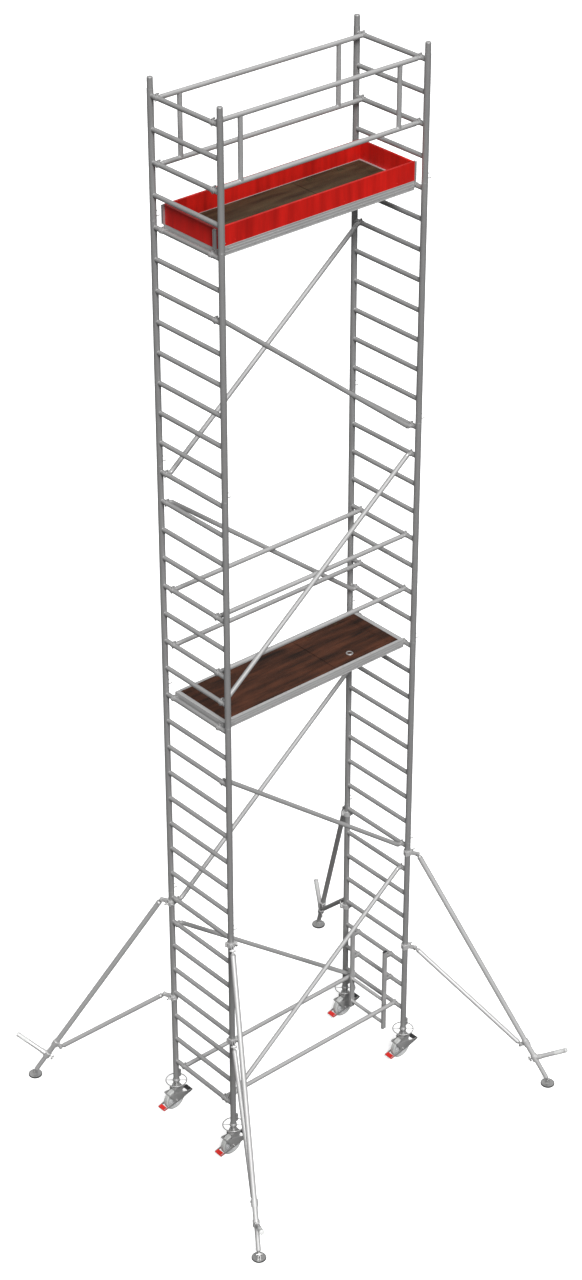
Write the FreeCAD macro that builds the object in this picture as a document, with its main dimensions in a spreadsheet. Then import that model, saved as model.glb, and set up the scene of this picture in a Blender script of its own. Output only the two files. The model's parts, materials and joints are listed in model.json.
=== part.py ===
"""Rolling scaffold tower with two planked decks, castors and outriggers.

Origin: centre of the tower's footprint on the ground.  X runs along the decks, Y across them
(-Y is the front), Z is up.  Millimetres.
"""
import FreeCAD, Part
import math
import os

import Sketcher
from FreeCAD import Placement, Rotation, Vector

# ---------------------------------------------------------------- driving sizes
SIZES = (
    ("bay_length", 1960, "post centre to post centre along the decks"),
    ("frame_width", 770, "post centre to post centre across the tower"),
    ("rung_pitch", 250, "rung to rung"),
    ("frame_height", 2000, "height of a standard end frame"),
    ("guard_frame_height", 1000, "height of the top end frame"),
    ("first_rung_offset", 200, "foot of a post to its lowest rung"),
    ("post_diameter", 50, "post tube outside"),
    ("post_wall", 2, "post tube wall"),
    ("rung_diameter", 32, "rung tube outside"),
    ("rung_wall", 2, "rung tube wall"),
    ("bracket_depth", 22, "spindle lock lug, out from the post"),
    ("bracket_root", 4, "depth of the lug's hollow round the post"),
    ("bracket_width", 18, "spindle lock lug, across the tower"),
    ("bracket_height", 70, "spindle lock lug"),
    ("bracket_lift", 4, "foot of a post to the lug"),
    ("bracket_bolt", 10, "bolt through the lug"),
    ("spigot_gap", 0.3, "spigot to post bore, on the radius"),
    ("spigot_wall", 3, "spigot and top sleeve wall"),
    ("spigot_length", 200, "joint sleeve"),
    ("stub_length", 80, "how far the top sleeves stand out of the posts"),
    ("stub_step", 0.5, "hidden end of a top sleeve, smaller on the radius"),
    ("clip_rise", 25, "spring clip above the frame joint"),
    ("clip_pitch", 40, "spring clip to the short pin above it"),
    ("clip_length", 37, "how far a spring clip stands out"),
    ("clip_wire", 6, "spring clip diameter"),
    ("clip_button", 7, "short pin diameter"),
    ("brace_diameter", 38, "brace, rail and strut tube outside"),
    ("brace_wall", 2, "brace tube wall"),
    ("brace_end_gap", 45, "rung axis to the end of a rail tube"),
    ("brace_joint", 40, "rung axis to the bend in a diagonal's tongue, level with the rung"),
    ("brace_shoulder", 8, "bend of the tongue to the end of a diagonal's tube"),
    ("brace_rise", 6, "rung pitches that a diagonal climbs"),
    ("tongue_length", 80, "rung axis to the end of a claw's tongue in its tube"),
    ("brace_offset", 75, "diagonals in from the post centre"),
    ("rail_offset", 117, "rails and base struts in from the post centre"),
    ("claw_wall", 6, "thickness of a claw"),
    ("claw_width", 36, "claw along the rung"),
    ("claw_gap", 0.4, "claw to rung, on the radius"),
    ("trigger_length", 16, "claw trigger along the brace"),
    ("trigger_width", 8, "claw trigger along the rung"),
    ("trigger_height", 14, "claw trigger"),
    ("upright_diameter", 38, "uprights of the guard frames"),
    ("upright_inset", 225, "mean distance of an upright from the nearer rung axis"),
    ("upright_shift", 20, "both uprights of a guard frame towards one end"),
    ("platform_width", 600, "deck beams, outside to outside"),
    ("beam_height", 75, "side beam height"),
    ("deck_rise", 45, "top of the deck beams above the rung axis"),
    ("beam_wall", 3, "side beam wall"),
    ("beam_lip", 24, "side beam flanges"),
    ("beam_end_gap", 28, "rung axis to the end of a platform"),
    ("end_beam_width", 34, "platform end beam along X"),
    ("end_beam_height", 52, "platform end beam height"),
    ("cross_width", 40, "cross member width"),
    ("cross_height", 24, "cross member height"),
    ("deck_thickness", 12, "plywood"),
    ("hatch_margin", 78, "trapdoor opening to the right end of the deck"),
    ("hatch_length", 600, "trapdoor opening along X"),
    ("hatch_width", 470, "trapdoor opening along Y"),
    ("hatch_gap", 3, "trapdoor to its opening, all round"),
    ("hatch_ledge", 12, "cross members under the edges of the trapdoor"),
    ("hinge_diameter", 9, "trapdoor hinge barrel"),
    ("hinge_pin", 5, "trapdoor hinge pin"),
    ("hinge_length", 60, "trapdoor hinge, all three barrels"),
    ("hinge_play", 0.3, "middle hinge barrel to each outer one"),
    ("leaf_depth", 26, "hinge leaf along Y"),
    ("leaf_wall", 2.5, "hinge leaf"),
    ("platform_hook_inset", 22, "platform hook in from the beam's outer face"),
    ("hook_neck_height", 20, "neck between a platform and its hook"),
    ("lock_wall", 14, "wind lock along X"),
    ("lock_height", 18, "wind lock"),
    ("toe_height", 150, "toe board height"),
    ("toe_thickness", 20, "toe board thickness"),
    ("toe_setback", 25, "rung axis to the end of a long toe board"),
    ("toe_bracket_depth", 20, "corner bracket of the toe boards"),
    ("toe_bracket_wall", 3, "corner bracket of the toe boards"),
    ("ladder_setback", 75, "ladder stiles inside the right end frame"),
    ("ladder_width", 420, "ladder stile to stile"),
    ("ladder_bottom", 230, "lower end of the ladder stiles"),
    ("ladder_length", 840, "length of the ladder stiles"),
    ("ladder_stile_depth", 40, "ladder stile along X"),
    ("ladder_stile_width", 20, "ladder stile along Y"),
    ("ladder_wall", 2, "ladder stile and rung wall"),
    ("ladder_rung_diameter", 30, "ladder rung tube"),
    ("ladder_first_rung", 50, "lower end of the stiles to the first rung"),
    ("wheel_diameter", 200, "castor wheel"),
    ("wheel_width", 48, "castor tyre width"),
    ("tyre_depth", 22, "tyre thickness"),
    ("castor_trail", 30, "wheel axle behind the swivel axis"),
    ("axle_diameter", 12, "wheel axle"),
    ("running_gap", 0.05, "running fits, on the radius"),
    ("fork_gap", 2.5, "wheel hub to fork cheek, each side"),
    ("fork_wall", 5, "fork sheet"),
    ("crown_gap", 14, "tyre to the underside of the fork crown"),
    ("crown_width", 96, "fork crown along X"),
    ("swivel_diameter", 74, "swivel bearing"),
    ("swivel_height", 16, "swivel bearing"),
    ("spindle_diameter", 38, "threaded spindle"),
    ("spindle_wall", 4, "threaded spindle wall"),
    ("spindle_length", 360, "threaded spindle above its flange"),
    ("spindle_flange", 8, "flange under the spindle"),
    ("seat_gap", 0.5, "clearance between stacked turning faces"),
    ("spindle_lead", 8, "height change per turn of the handwheel"),
    ("kingpin_diameter", 16, "swivel kingpin"),
    ("handwheel_diameter", 190, "height adjusting wheel, outside"),
    ("handwheel_wire", 9, "handwheel rim"),
    ("nut_diameter", 60, "handwheel hub"),
    ("nut_height", 36, "handwheel hub"),
    ("jack_rise", 30, "spindle flange to handwheel with the tower at its lowest"),
    ("brake_wall", 4, "brake rocker side plates"),
    ("brake_gap", 1.5, "brake rocker to fork cheek, each side"),
    ("red_pedal_gap", 32, "tyre to the middle of the red pedal"),
    ("black_pedal_gap", 58, "tyre to the middle of the black pedal"),
    ("tie_gap", 7, "tyre to the middle of the tie bar"),
    ("tie_diameter", 8, "tie bar of the brake rocker"),
    ("pedal_length", 38, "brake pedal along X"),
    ("pedal_thickness", 10, "brake pedal"),
    ("coupler_drop", 54, "outrigger couplers below their rungs"),
    ("coupler_height", 44, "coupler jaws along the post"),
    ("coupler_wall", 10, "coupler jaws"),
    ("coupler_gap", 0.4, "coupler jaw to post, on the radius"),
    ("coupler_reach", 92, "post axis to the pivots of tube and strut"),
    ("outrigger_radius", 1330, "post axis to foot, in plan"),
    ("outrigger_azimuth", 59, "outrigger from the X axis, in plan, degrees"),
    ("outrigger_tube", 45, "outrigger main tube outside"),
    ("outrigger_wall", 2.5, "outrigger main tube wall"),
    ("leg_gap", 0.3, "telescopic leg to main tube, on the radius"),
    ("leg_wall", 3, "telescopic leg wall"),
    ("leg_overlap", 420, "telescopic leg inside the main tube"),
    ("main_tube_end", 2268, "upper pivot to the open end of the main tube"),
    ("strut_diameter", 40, "outrigger strut"),
    ("strut_wall", 2, "outrigger strut wall"),
    ("collar_station", 2070, "upper pivot to the strut collar, along the tube"),
    ("collar_length", 60, "strut collar and tube clamp"),
    ("collar_wall", 7, "strut collar and tube clamp"),
    ("collar_lug", 58, "tube axis to the strut's lower pivot"),
    ("pivot_pin", 12, "outrigger pivot pins"),
    ("eye_radius", 15, "outrigger eyes and clevis plates"),
    ("eye_thickness", 12, "outrigger eyes"),
    ("eye_gap", 34, "pivot to the end of the tube it carries"),
    ("plug_length", 24, "plug of an eye inside its tube"),
    ("clevis_wall", 5, "outrigger clevis plates"),
    ("clevis_gap", 0.5, "eye to clevis plate, each side"),
    ("handle_diameter", 40, "clamp handle tube"),
    ("handle_length", 275, "clamp handle tube"),
    ("foot_diameter", 118, "outrigger foot plate"),
    ("foot_pad", 7, "rubber under the foot plate"),
    ("foot_plate", 6, "foot plate"),
    ("foot_pivot", 42, "foot pivot above the ground"),
)

DOC = FreeCAD.newDocument("RollingTower")
SHEET = DOC.addObject("Spreadsheet::Sheet", "Sizes")
for row, (alias, value, note) in enumerate(SIZES, start=1):
    SHEET.set(f"A{row}", note)
    SHEET.set(f"B{row}", str(value))
    SHEET.setAlias(f"B{row}", alias)
DOC.recompute()


def size(alias):
    """A driving size, read back from the sheet."""
    return float(SHEET.get(alias))


# ---------------------------------------------------------------- values worked out once
HALF_BAY = size("bay_length") / 2
HALF_FRAME = size("frame_width") / 2
HALF_PLATFORM = size("platform_width") / 2
HALF_DECK = HALF_BAY - size("beam_end_gap") - size("end_beam_width")
HATCH_END = HALF_DECK - size("hatch_margin")
HATCH_START = HATCH_END - size("hatch_length")
RUNG_PITCH = size("rung_pitch")
CROWN_BOTTOM = size("wheel_diameter") + size("crown_gap")
CROWN_TOP = CROWN_BOTTOM + size("fork_wall")
FLANGE_Z = CROWN_TOP + size("swivel_height") + size("seat_gap")
FLANGE_TOP = FLANGE_Z + size("spindle_flange")
HANDWHEEL_Z = FLANGE_TOP + size("jack_rise")
POST_FOOT = HANDWHEEL_Z + size("nut_height") + size("seat_gap")
LIFTS = 4
GUARD_RUNGS = 4
RUNGS_PER_FRAME = round(size("frame_height") / RUNG_PITCH)
TOWER_RUNGS = LIFTS * RUNGS_PER_FRAME + GUARD_RUNGS
LOWEST_RUNG = POST_FOOT + size("first_rung_offset")
POST_TOP = POST_FOOT + LIFTS * size("frame_height") + size("guard_frame_height")
SIDES = (-1, 1)
CORNERS = {
    "front_left": (-1, -1),
    "rear_left": (-1, 1),
    "front_right": (1, -1),
    "rear_right": (1, 1),
}
MID_DECK_RUNG = 21
TOP_DECK_RUNG = 5


def rung_height(number):
    """Height of a rung's axis; rung 1 is the highest."""
    return LOWEST_RUNG + (TOWER_RUNGS - number) * RUNG_PITCH


# ---------------------------------------------------------------- document helpers
NODES = []
TURN_Y = Rotation(Vector(0, 1, 0), 90)
TURN_X = Rotation(Vector(1, 0, 0), -90)


def at(x=0.0, y=0.0, z=0.0, turn=None):
    return Placement(Vector(x, y, z), turn or Rotation())


def about_y(angle):
    return Rotation(Vector(0, 1, 0), angle)


def about_z(angle):
    return Rotation(Vector(0, 0, 1), angle)


def cells(expression):
    """Write a size's bare name in an expression as a reference to the sheet."""
    words = expression.replace("(", "( ").replace(")", " )").split()
    aliases = {alias for alias, _value, _note in SIZES}
    return " ".join("Sizes." + word if word in aliases else word for word in words)


def bind(item, **expressions):
    for name, expression in expressions.items():
        item.setExpression(name, cells(expression))
    return item


def cylinder(name, radius, height, place=None):
    item = DOC.addObject("Part::Cylinder", name)
    bind(item, Radius=radius, Height=height)
    item.Placement = place or at()
    return item


def box(name, length, width, height, place=None):
    item = DOC.addObject("Part::Box", name)
    bind(item, Length=length, Width=width, Height=height)
    item.Placement = place or at()
    return item


def fuse(name, *items):
    item = DOC.addObject("Part::MultiFuse", name)
    item.Shapes = list(items)
    return item


def cut(name, base, *tools):
    item = DOC.addObject("Part::Cut", name)
    item.Base = base
    item.Tool = tools[0] if len(tools) == 1 else fuse(name + "_tools", *tools)
    return item


def tube(name, diameter, wall, length):
    """Round tube along Z from the origin."""
    outside = cylinder(name + "_outside", f"{diameter} / 2", length)
    inside = cylinder(name + "_inside", f"{diameter} / 2 - {wall}", length)
    return cut(name, outside, inside)


def ring(name, bore, wall, length, place=None):
    """Collar along Z, centred on the origin, from its bore radius."""
    start = place or at()
    outside = cylinder(name + "_outside", f"{bore} + {wall}", length, start)
    inside = cylinder(name + "_inside", bore, length, start)
    return cut(name, outside, inside)


def copy(source, place):
    link = DOC.addObject("App::Link", source.Name + "_copy")
    link.LinkedObject = source
    link.LinkTransform = True
    link.Placement = place
    return link


def node(label, pieces, place=None):
    """A named sub-part: one compound of separate solids, with its own placement."""
    item = DOC.addObject("Part::Compound", label)
    item.Links = pieces
    item.Label = label
    item.Placement = place or at()
    NODES.append(item)
    return item


def plane(body, role):
    return next(item for item in body.Origin.OriginFeatures if item.Role == role)


def sketch_on(body, role, name):
    sketch = body.newObject("Sketcher::SketchObject", name)
    sketch.AttachmentSupport = [(plane(body, role), "")]
    sketch.MapMode = "FlatFace"
    return sketch


def add_circle(sketch, x, y, radius):
    """Circle whose radius follows the sheet."""
    index = sketch.addGeometry(Part.Circle(Vector(x, y, 0), Vector(0, 0, 1), 1), False)
    number = sketch.addConstraint(Sketcher.Constraint("Radius", index, 1))
    sketch.setExpression(f"Constraints[{number}]", cells(radius))
    return index


def add_rectangle(sketch, x, y, width, height):
    """Rectangle from its lower left corner, with its two sides bound to the sheet."""
    corners = [Vector(x, y, 0), Vector(x + 1, y, 0), Vector(x + 1, y + 1, 0), Vector(x, y + 1, 0)]
    edges = []
    for start, end in zip(corners, corners[1:] + corners[:1]):
        edges.append(sketch.addGeometry(Part.LineSegment(start, end), False))
    for first, second in zip(edges, edges[1:] + edges[:1]):
        sketch.addConstraint(Sketcher.Constraint("Coincident", first, 2, second, 1))
    for edge in edges[0::2]:
        sketch.addConstraint(Sketcher.Constraint("Horizontal", edge))
    for edge in edges[1::2]:
        sketch.addConstraint(Sketcher.Constraint("Vertical", edge))
    sketch.addConstraint(Sketcher.Constraint("DistanceX", -1, 1, edges[0], 1, x))
    sketch.addConstraint(Sketcher.Constraint("DistanceY", -1, 1, edges[0], 1, y))
    across = sketch.addConstraint(Sketcher.Constraint("DistanceX", edges[0], 1, edges[0], 2, 1))
    up = sketch.addConstraint(Sketcher.Constraint("DistanceY", edges[1], 1, edges[1], 2, 1))
    sketch.setExpression(f"Constraints[{across}]", cells(width))
    sketch.setExpression(f"Constraints[{up}]", cells(height))


def add_outline(sketch, points):
    """Closed outline of straight edges."""
    corners = [Vector(x, y, 0) for x, y in points]
    for start, end in zip(corners, corners[1:] + corners[:1]):
        sketch.addGeometry(Part.LineSegment(start, end), False)


def pad(body, sketch, length, midplane=False):
    feature = body.newObject("PartDesign::Pad", sketch.Name + "_pad")
    feature.Profile = sketch
    bind(feature, Length=length)
    feature.Midplane = midplane
    return feature


def pocket_through(body, sketch):
    """Cut right through, both ways, and make sure that it removed material."""
    before = body.Shape.Volume
    feature = body.newObject("PartDesign::Pocket", sketch.Name + "_pocket")
    feature.Profile = sketch
    feature.Type = "ThroughAll"
    feature.Midplane = True
    DOC.recompute()
    if body.Shape.Volume >= before:
        raise ValueError(f"{feature.Name} removed nothing")
    return feature


def new_body(name):
    return DOC.addObject("PartDesign::Body", name)


def revolved(body, sketch, axis_role):
    feature = body.newObject("PartDesign::Revolution", sketch.Name + "_turned")
    feature.Profile = sketch
    axis = next(item for item in body.Origin.OriginFeatures if item.Role == axis_role)
    feature.ReferenceAxis = (axis, [""])
    feature.Angle = 360
    return feature


# ---------------------------------------------------------------- end frames
def make_rung():
    """Rung along Y between the two posts, its ends cut to the posts' round."""
    start = at(y=-HALF_FRAME, turn=TURN_X)
    outside = cylinder("rung_outside", "rung_diameter / 2", "frame_width", start)
    inside = cylinder("rung_inside", "rung_diameter / 2 - rung_wall", "frame_width", start)
    tools = [inside]
    for side in SIDES:
        place = at(y=side * HALF_FRAME, z=-size("rung_diameter"))
        tools.append(cylinder("rung_saddle", "post_diameter / 2", "rung_diameter * 2", place))
    return cut("rung", outside, *tools)


def make_post_bracket():
    """Lug on the +X side of a lowest post, with the cross bolt that locks the castor's spindle."""
    surface = size("post_diameter") / 2
    root = size("bracket_root")
    lug = box("bracket_lug", "bracket_depth + bracket_root", "bracket_width", "bracket_height",
              at(x=surface - root, y=-size("bracket_width") / 2))
    around = cylinder("bracket_post", "post_diameter / 2", "bracket_height")
    bolt_place = at(surface + size("bracket_depth") / 2, -size("bracket_width"),
                    size("bracket_height") / 2, TURN_X)
    bolt = cylinder("bracket_bolt", "bracket_bolt / 2", "2 * bracket_width", bolt_place)
    return fuse("post_bracket", cut("bracket_block", lug, around), bolt)


def end_frames():
    rung = make_rung()
    tall_post = tube("tall_post", "post_diameter", "post_wall", "frame_height")
    short_post = tube("short_post", "post_diameter", "post_wall", "guard_frame_height")
    bracket = make_post_bracket()
    for lift in range(LIFTS + 1):
        foot = POST_FOOT + lift * size("frame_height")
        post = short_post if lift == LIFTS else tall_post
        rungs = GUARD_RUNGS if lift == LIFTS else RUNGS_PER_FRAME
        pieces = []
        for end in SIDES:
            for side in SIDES:
                pieces.append(copy(post, at(end * HALF_BAY, side * HALF_FRAME, foot)))
                if lift == 0:
                    pieces.append(copy(bracket, at(end * HALF_BAY, side * HALF_FRAME, foot + size("bracket_lift"))))
            for number in range(rungs):
                height = foot + size("first_rung_offset") + number * RUNG_PITCH
                pieces.append(copy(rung, at(x=end * HALF_BAY, z=height)))
        node(f"end_frames_lift_{lift + 1}", pieces)


def make_top_stub():
    """Sleeve for a further frame: full size above the post, a little smaller inside it."""
    outer = "( post_diameter / 2 - post_wall - spigot_gap )"
    hidden = size("spigot_length") - size("stub_length")
    stub = cylinder("stub_outside", outer, "stub_length")
    root = cylinder("stub_root", f"{outer} - stub_step", "spigot_length - stub_length", at(z=-hidden))
    bore = cylinder("stub_bore", f"{outer} - spigot_wall", "spigot_length", at(z=-hidden))
    return cut("stub", fuse("stub_blank", stub, root), bore)


def frame_joints():
    """Sleeves inside the posts and the spring clips that lock them."""
    sleeve = tube("sleeve", "( post_diameter - 2 * post_wall - 2 * spigot_gap )", "spigot_wall",
                  "spigot_length")
    stub = make_top_stub()
    surface = size("post_diameter") / 2
    clip = cylinder("clip", "clip_wire / 2", "clip_length", at(x=surface, turn=TURN_Y))
    button = cylinder("clip_button", "clip_button / 2", "clip_length / 3", at(x=surface, turn=TURN_Y))
    sleeves = []
    clips = []
    for along, across in CORNERS.values():
        x = along * HALF_BAY
        y = across * HALF_FRAME
        for lift in range(1, LIFTS + 1):
            joint = POST_FOOT + lift * size("frame_height")
            sleeves.append(copy(sleeve, at(x, y, joint - size("spigot_length") / 2)))
            clip_height = joint + size("clip_rise")
            clips.append(copy(clip, at(x, y, clip_height)))
            clips.append(copy(button, at(x, y, clip_height + size("clip_pitch"))))
        sleeves.append(copy(stub, at(x, y, POST_TOP)))
    node("frame_spigots", sleeves)
    node("spring_clips", clips)


# ---------------------------------------------------------------- braces and rails
CLAW_BORE = "( rung_diameter / 2 + claw_gap )"
CLAW_RADIUS = size("rung_diameter") / 2 + size("claw_gap") + size("claw_wall")


def make_claw(name, width):
    """Hook over a rung, open below, with its release trigger on top; rung axis along Y."""
    start = at(y=-size(width) / 2, turn=TURN_X)
    outside = cylinder(name + "_outside", f"{CLAW_BORE} + claw_wall", width, start)
    bore = cylinder(name + "_bore", CLAW_BORE, width, start)
    mouth_place = at(-size("rung_diameter") / 2 - size("claw_gap"), -size(width) / 2, -2 * CLAW_RADIUS)
    mouth = box(name + "_mouth", "rung_diameter + 2 * claw_gap", width, str(2 * CLAW_RADIUS), mouth_place)
    root = size("claw_wall") / 3
    trigger_place = at(-size("trigger_length") / 2, -size("trigger_width") / 2, CLAW_RADIUS - root)
    trigger = box(name + "_trigger", "trigger_length", "trigger_width", "trigger_height", trigger_place)
    return cut(name, fuse(name + "_body", outside, trigger), bore, mouth)


def around_claw(name):
    """The claw's outer round, as a tool that trims what meets it."""
    start = at(y=-2 * size("claw_width"), turn=TURN_X)
    return cylinder(name, f"{CLAW_BORE} + claw_wall", "claw_width * 4", start)


TONGUE = "( brace_diameter / 2 - brace_wall )"
DIAGONAL_SLOPE = math.degrees(math.atan2(size("brace_rise") * RUNG_PITCH,
                                         size("bay_length") - 2 * size("brace_joint")))


def make_tongue():
    """Round tongue along +X from a claw's back into its tube."""
    bar = cylinder("tongue_bar", TONGUE, "tongue_length", at(turn=TURN_Y))
    return cut("claw_tongue", bar, around_claw("tongue_trim"))


def make_bent_tongue(name, angle):
    """Tongue that leaves its claw level (+X) and bends to a diagonal's slope, up or down."""
    joint = at(x=size("brace_joint"))
    level = cylinder(name + "_level", TONGUE, "brace_joint", at(turn=TURN_Y))
    bend = DOC.addObject("Part::Sphere", name + "_bend")
    bind(bend, Radius=TONGUE)
    bend.Placement = joint
    sloped = cylinder(name + "_sloped", TONGUE, "tongue_length - brace_joint",
                      Placement(joint.Base, about_y(90 - angle)))
    return cut(name, fuse(name + "_bar", level, bend, sloped), around_claw(name + "_trim"))


def make_neck(name, length, width, height):
    """Flat neck along +X from a claw's back to the face it is welded to."""
    bar = box(name + "_bar", length, width, height)
    bar.setExpression("Placement.Base.y", cells(f"- ( {width} ) / 2"))
    bar.setExpression("Placement.Base.z", cells(f"- ( {height} ) / 2"))
    return cut(name, bar, around_claw(name + "_trim"))


def brace_set(tube_piece, claw, tails, start_rung, end_rung, y):
    """One tube from the left end frame to the right one, with its tongues and claws."""
    left = Vector(-HALF_BAY, y, rung_height(start_rung))
    right = Vector(HALF_BAY, y, rung_height(end_rung))
    rises = (right.z > left.z) - (right.z < left.z)
    if rises:
        reach = Vector(size("brace_joint"), 0, 0)
        line = (right - reach) - (left + reach)
        first = left + reach + line.normalize() * size("brace_shoulder")
    else:
        first = left + Vector(size("brace_end_gap"), 0, 0)
    pipe = copy(tube_piece, Placement(first, about_y(90 - rises * DIAGONAL_SLOPE)))
    fittings = []
    for end, way, turn in ((left, rises, 0), (right, -rises, 180)):
        fittings.append(copy(claw, Placement(end, Rotation())))
        fittings.append(copy(tails[way], Placement(end, about_z(turn))))
    return pipe, fittings


def braces_and_rails():
    diagonal_length = ("sqrt( ( bay_length - 2 * brace_joint ) ^ 2 + ( brace_rise * rung_pitch ) ^ 2 )"
                       " - 2 * brace_shoulder")
    diagonal = tube("diagonal", "brace_diameter", "brace_wall", diagonal_length)
    rail = tube("rail", "brace_diameter", "brace_wall", "bay_length - 2 * brace_end_gap")
    claw = make_claw("claw", "claw_width")
    tails = {
        0: make_tongue(),
        1: make_bent_tongue("rising_tongue", DIAGONAL_SLOPE),
        -1: make_bent_tongue("falling_tongue", -DIAGONAL_SLOPE),
    }
    front = -HALF_FRAME + size("brace_offset")
    rear = HALF_FRAME - size("brace_offset")
    front_rail = -HALF_FRAME + size("rail_offset")
    rear_rail = HALF_FRAME - size("rail_offset")
    fittings = []

    def run(label, piece, routes):
        pipes = []
        for start_rung, end_rung, y in routes:
            pipe, ends = brace_set(piece, claw, tails, start_rung, end_rung, y)
            pipes.append(pipe)
            fittings.extend(ends)
        return node(label, pipes)

    run("front_diagonals", diagonal, [(7, 13, front), (20, 14, front), (23, 29, front), (36, 30, front)])
    run("rear_diagonals", diagonal, [(13, 7, rear), (14, 20, rear), (29, 23, rear), (30, 36, rear)])
    run("base_struts", rail, [(36, 36, front_rail), (36, 36, rear_rail)])
    run("mid_guard_rails", rail, [(number, number, y) for number in (17, 19)
                                  for y in (front_rail, rear_rail)])

    guard_upright = make_guard_upright()
    for label, y, shift in (("guard_frame_front", front, 1), ("guard_frame_rear", rear, -1)):
        pieces = []
        for number in (1, 3):
            pipe, ends = brace_set(rail, claw, tails, number, number, y)
            pieces.append(pipe)
            fittings.extend(ends)
        for end in SIDES:
            x = end * (HALF_BAY - size("upright_inset")) + shift * size("upright_shift")
            pieces.append(copy(guard_upright, at(x, y, rung_height(3))))
        node(label, pieces)
    node("brace_claws", fittings)


def make_guard_upright():
    """Upright between the two rails of a guard frame, its ends cut to their round."""
    body = tube("guard_upright", "upright_diameter", "brace_wall", "2 * rung_pitch")
    tools = []
    for height in (0, 2 * RUNG_PITCH):
        place = at(x=-size("upright_diameter"), z=height, turn=TURN_Y)
        tools.append(cylinder("upright_saddle", "brace_diameter / 2", "upright_diameter * 2", place))
    return cut("guard_upright_cut", body, *tools)


# ---------------------------------------------------------------- platforms
BEAM_LENGTH = "bay_length - 2 * beam_end_gap"
DECK_TOP = size("deck_rise") - size("beam_wall")
LEDGE_TOP = DECK_TOP - size("deck_thickness")


def make_side_beam():
    """Side beam along X, outer face at y = 0 and flanges towards +Y, with a ledge for the deck."""
    body = new_body("side_beam")
    section = sketch_on(body, "YZ_Plane", "beam_section")
    wall = size("beam_wall")
    lip = size("beam_lip")
    top = size("deck_rise")
    bottom = top - size("beam_height")
    add_outline(section, [
        (0, bottom), (lip, bottom), (lip, bottom + wall), (wall, bottom + wall),
        (wall, LEDGE_TOP - wall), (lip, LEDGE_TOP - wall), (lip, LEDGE_TOP), (wall, LEDGE_TOP),
        (wall, top - wall), (lip, top - wall), (lip, top), (0, top),
    ])
    pad(body, section, BEAM_LENGTH, midplane=True)
    return body


def make_end_beam():
    """Box section across the platform's end, between the side beams."""
    length = "platform_width - 2 * beam_lip"
    y = -HALF_PLATFORM + size("beam_lip")
    z = size("deck_rise") - size("end_beam_height")
    outside = box("end_beam_outside", "end_beam_width", length, "end_beam_height", at(0, y, z))
    wall = size("beam_wall")
    inside = box("end_beam_inside", "end_beam_width - 2 * beam_wall", length,
                 "end_beam_height - 2 * beam_wall", at(wall, y, z + wall))
    return cut("end_beam", outside, inside)


def make_cross_member():
    """Box section under the deck, from web to web, centred on x = 0."""
    length = "platform_width - 2 * beam_wall"
    y = -HALF_PLATFORM + size("beam_wall")
    z = LEDGE_TOP - size("beam_wall") - size("cross_height")
    half = size("cross_width") / 2
    outside = box("cross_outside", "cross_width", length, "cross_height", at(-half, y, z))
    wall = size("beam_wall")
    inside = box("cross_inside", "cross_width - 2 * beam_wall", length,
                 "cross_height - 2 * beam_wall", at(wall - half, y, z + wall))
    strip_y = -HALF_PLATFORM + size("beam_lip") + 1
    strip = box("cross_strip", "cross_width", "platform_width - 2 * beam_lip - 2", "beam_wall",
                at(-half, strip_y, LEDGE_TOP - wall))
    return fuse("cross_member", cut("cross_tube", outside, inside), strip)


def make_deck():
    """Plywood deck with its trapdoor opening, its top at z = 0."""
    body = new_body("deck")
    half_width = HALF_PLATFORM - size("beam_wall")
    sheet = sketch_on(body, "XY_Plane", "deck_sheet")
    add_rectangle(sheet, -HALF_DECK, -half_width,
                  "bay_length - 2 * beam_end_gap - 2 * end_beam_width",
                  "platform_width - 2 * beam_wall")
    pad(body, sheet, "deck_thickness")
    DOC.recompute()
    opening = sketch_on(body, "XY_Plane", "hatch_opening")
    add_rectangle(opening, HATCH_START, -size("hatch_width") / 2, "hatch_length", "hatch_width")
    pocket_through(body, opening)
    body.Placement = at(z=-size("deck_thickness"))
    return body


def hinge_stations():
    quarter = size("hatch_length") / 4
    middle = (HATCH_START + HATCH_END) / 2
    return (middle - quarter, middle + quarter)


HINGE_Y = size("hatch_width") / 2 - size("hatch_gap") / 2
HINGE_Z = size("hinge_diameter") / 2 + 0.5


def make_barrel(name, length):
    """Hinge barrel along X from the origin, bored for the pin."""
    outside = cylinder(name + "_outside", "hinge_diameter / 2", length, at(turn=TURN_Y))
    bore = cylinder(name + "_bore", "hinge_pin / 2 + running_gap", length, at(turn=TURN_Y))
    return cut(name, outside, bore)


def hinge_leaves():
    """Fixed leaf with pin (on the deck) and moving leaf (on the trapdoor), for one hinge at x = 0."""
    third = size("hinge_length") / 3
    play = size("hinge_play")
    middle = make_barrel("hinge_middle", "hinge_length / 3 - 2 * hinge_play")
    middle.Placement = at(x=play - third / 2)
    fixed_plate = box("hinge_fixed_plate", "hinge_length / 3 - 2 * hinge_play", "leaf_depth", "leaf_wall",
                      at(play - third / 2, size("hinge_pin") / 2 + 1, -HINGE_Z))
    fixed_leaf = fuse("hinge_fixed_leaf", middle, fixed_plate)
    pin = cylinder("hinge_pin_rod", "hinge_pin / 2 - running_gap", "hinge_length",
                   at(x=-size("hinge_length") / 2, turn=TURN_Y))
    moving = []
    for start in (-1.5 * third, 0.5 * third):
        barrel = make_barrel("hinge_outer", "hinge_length / 3")
        barrel.Placement = at(x=start)
        plate = box("hinge_moving_plate", "hinge_length / 3", "leaf_depth", "leaf_wall",
                    at(start, -size("hinge_pin") / 2 - 1 - size("leaf_depth"), -HINGE_Z))
        moving.append(fuse("hinge_moving_leaf", barrel, plate))
    return [fixed_leaf, pin], moving


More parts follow.
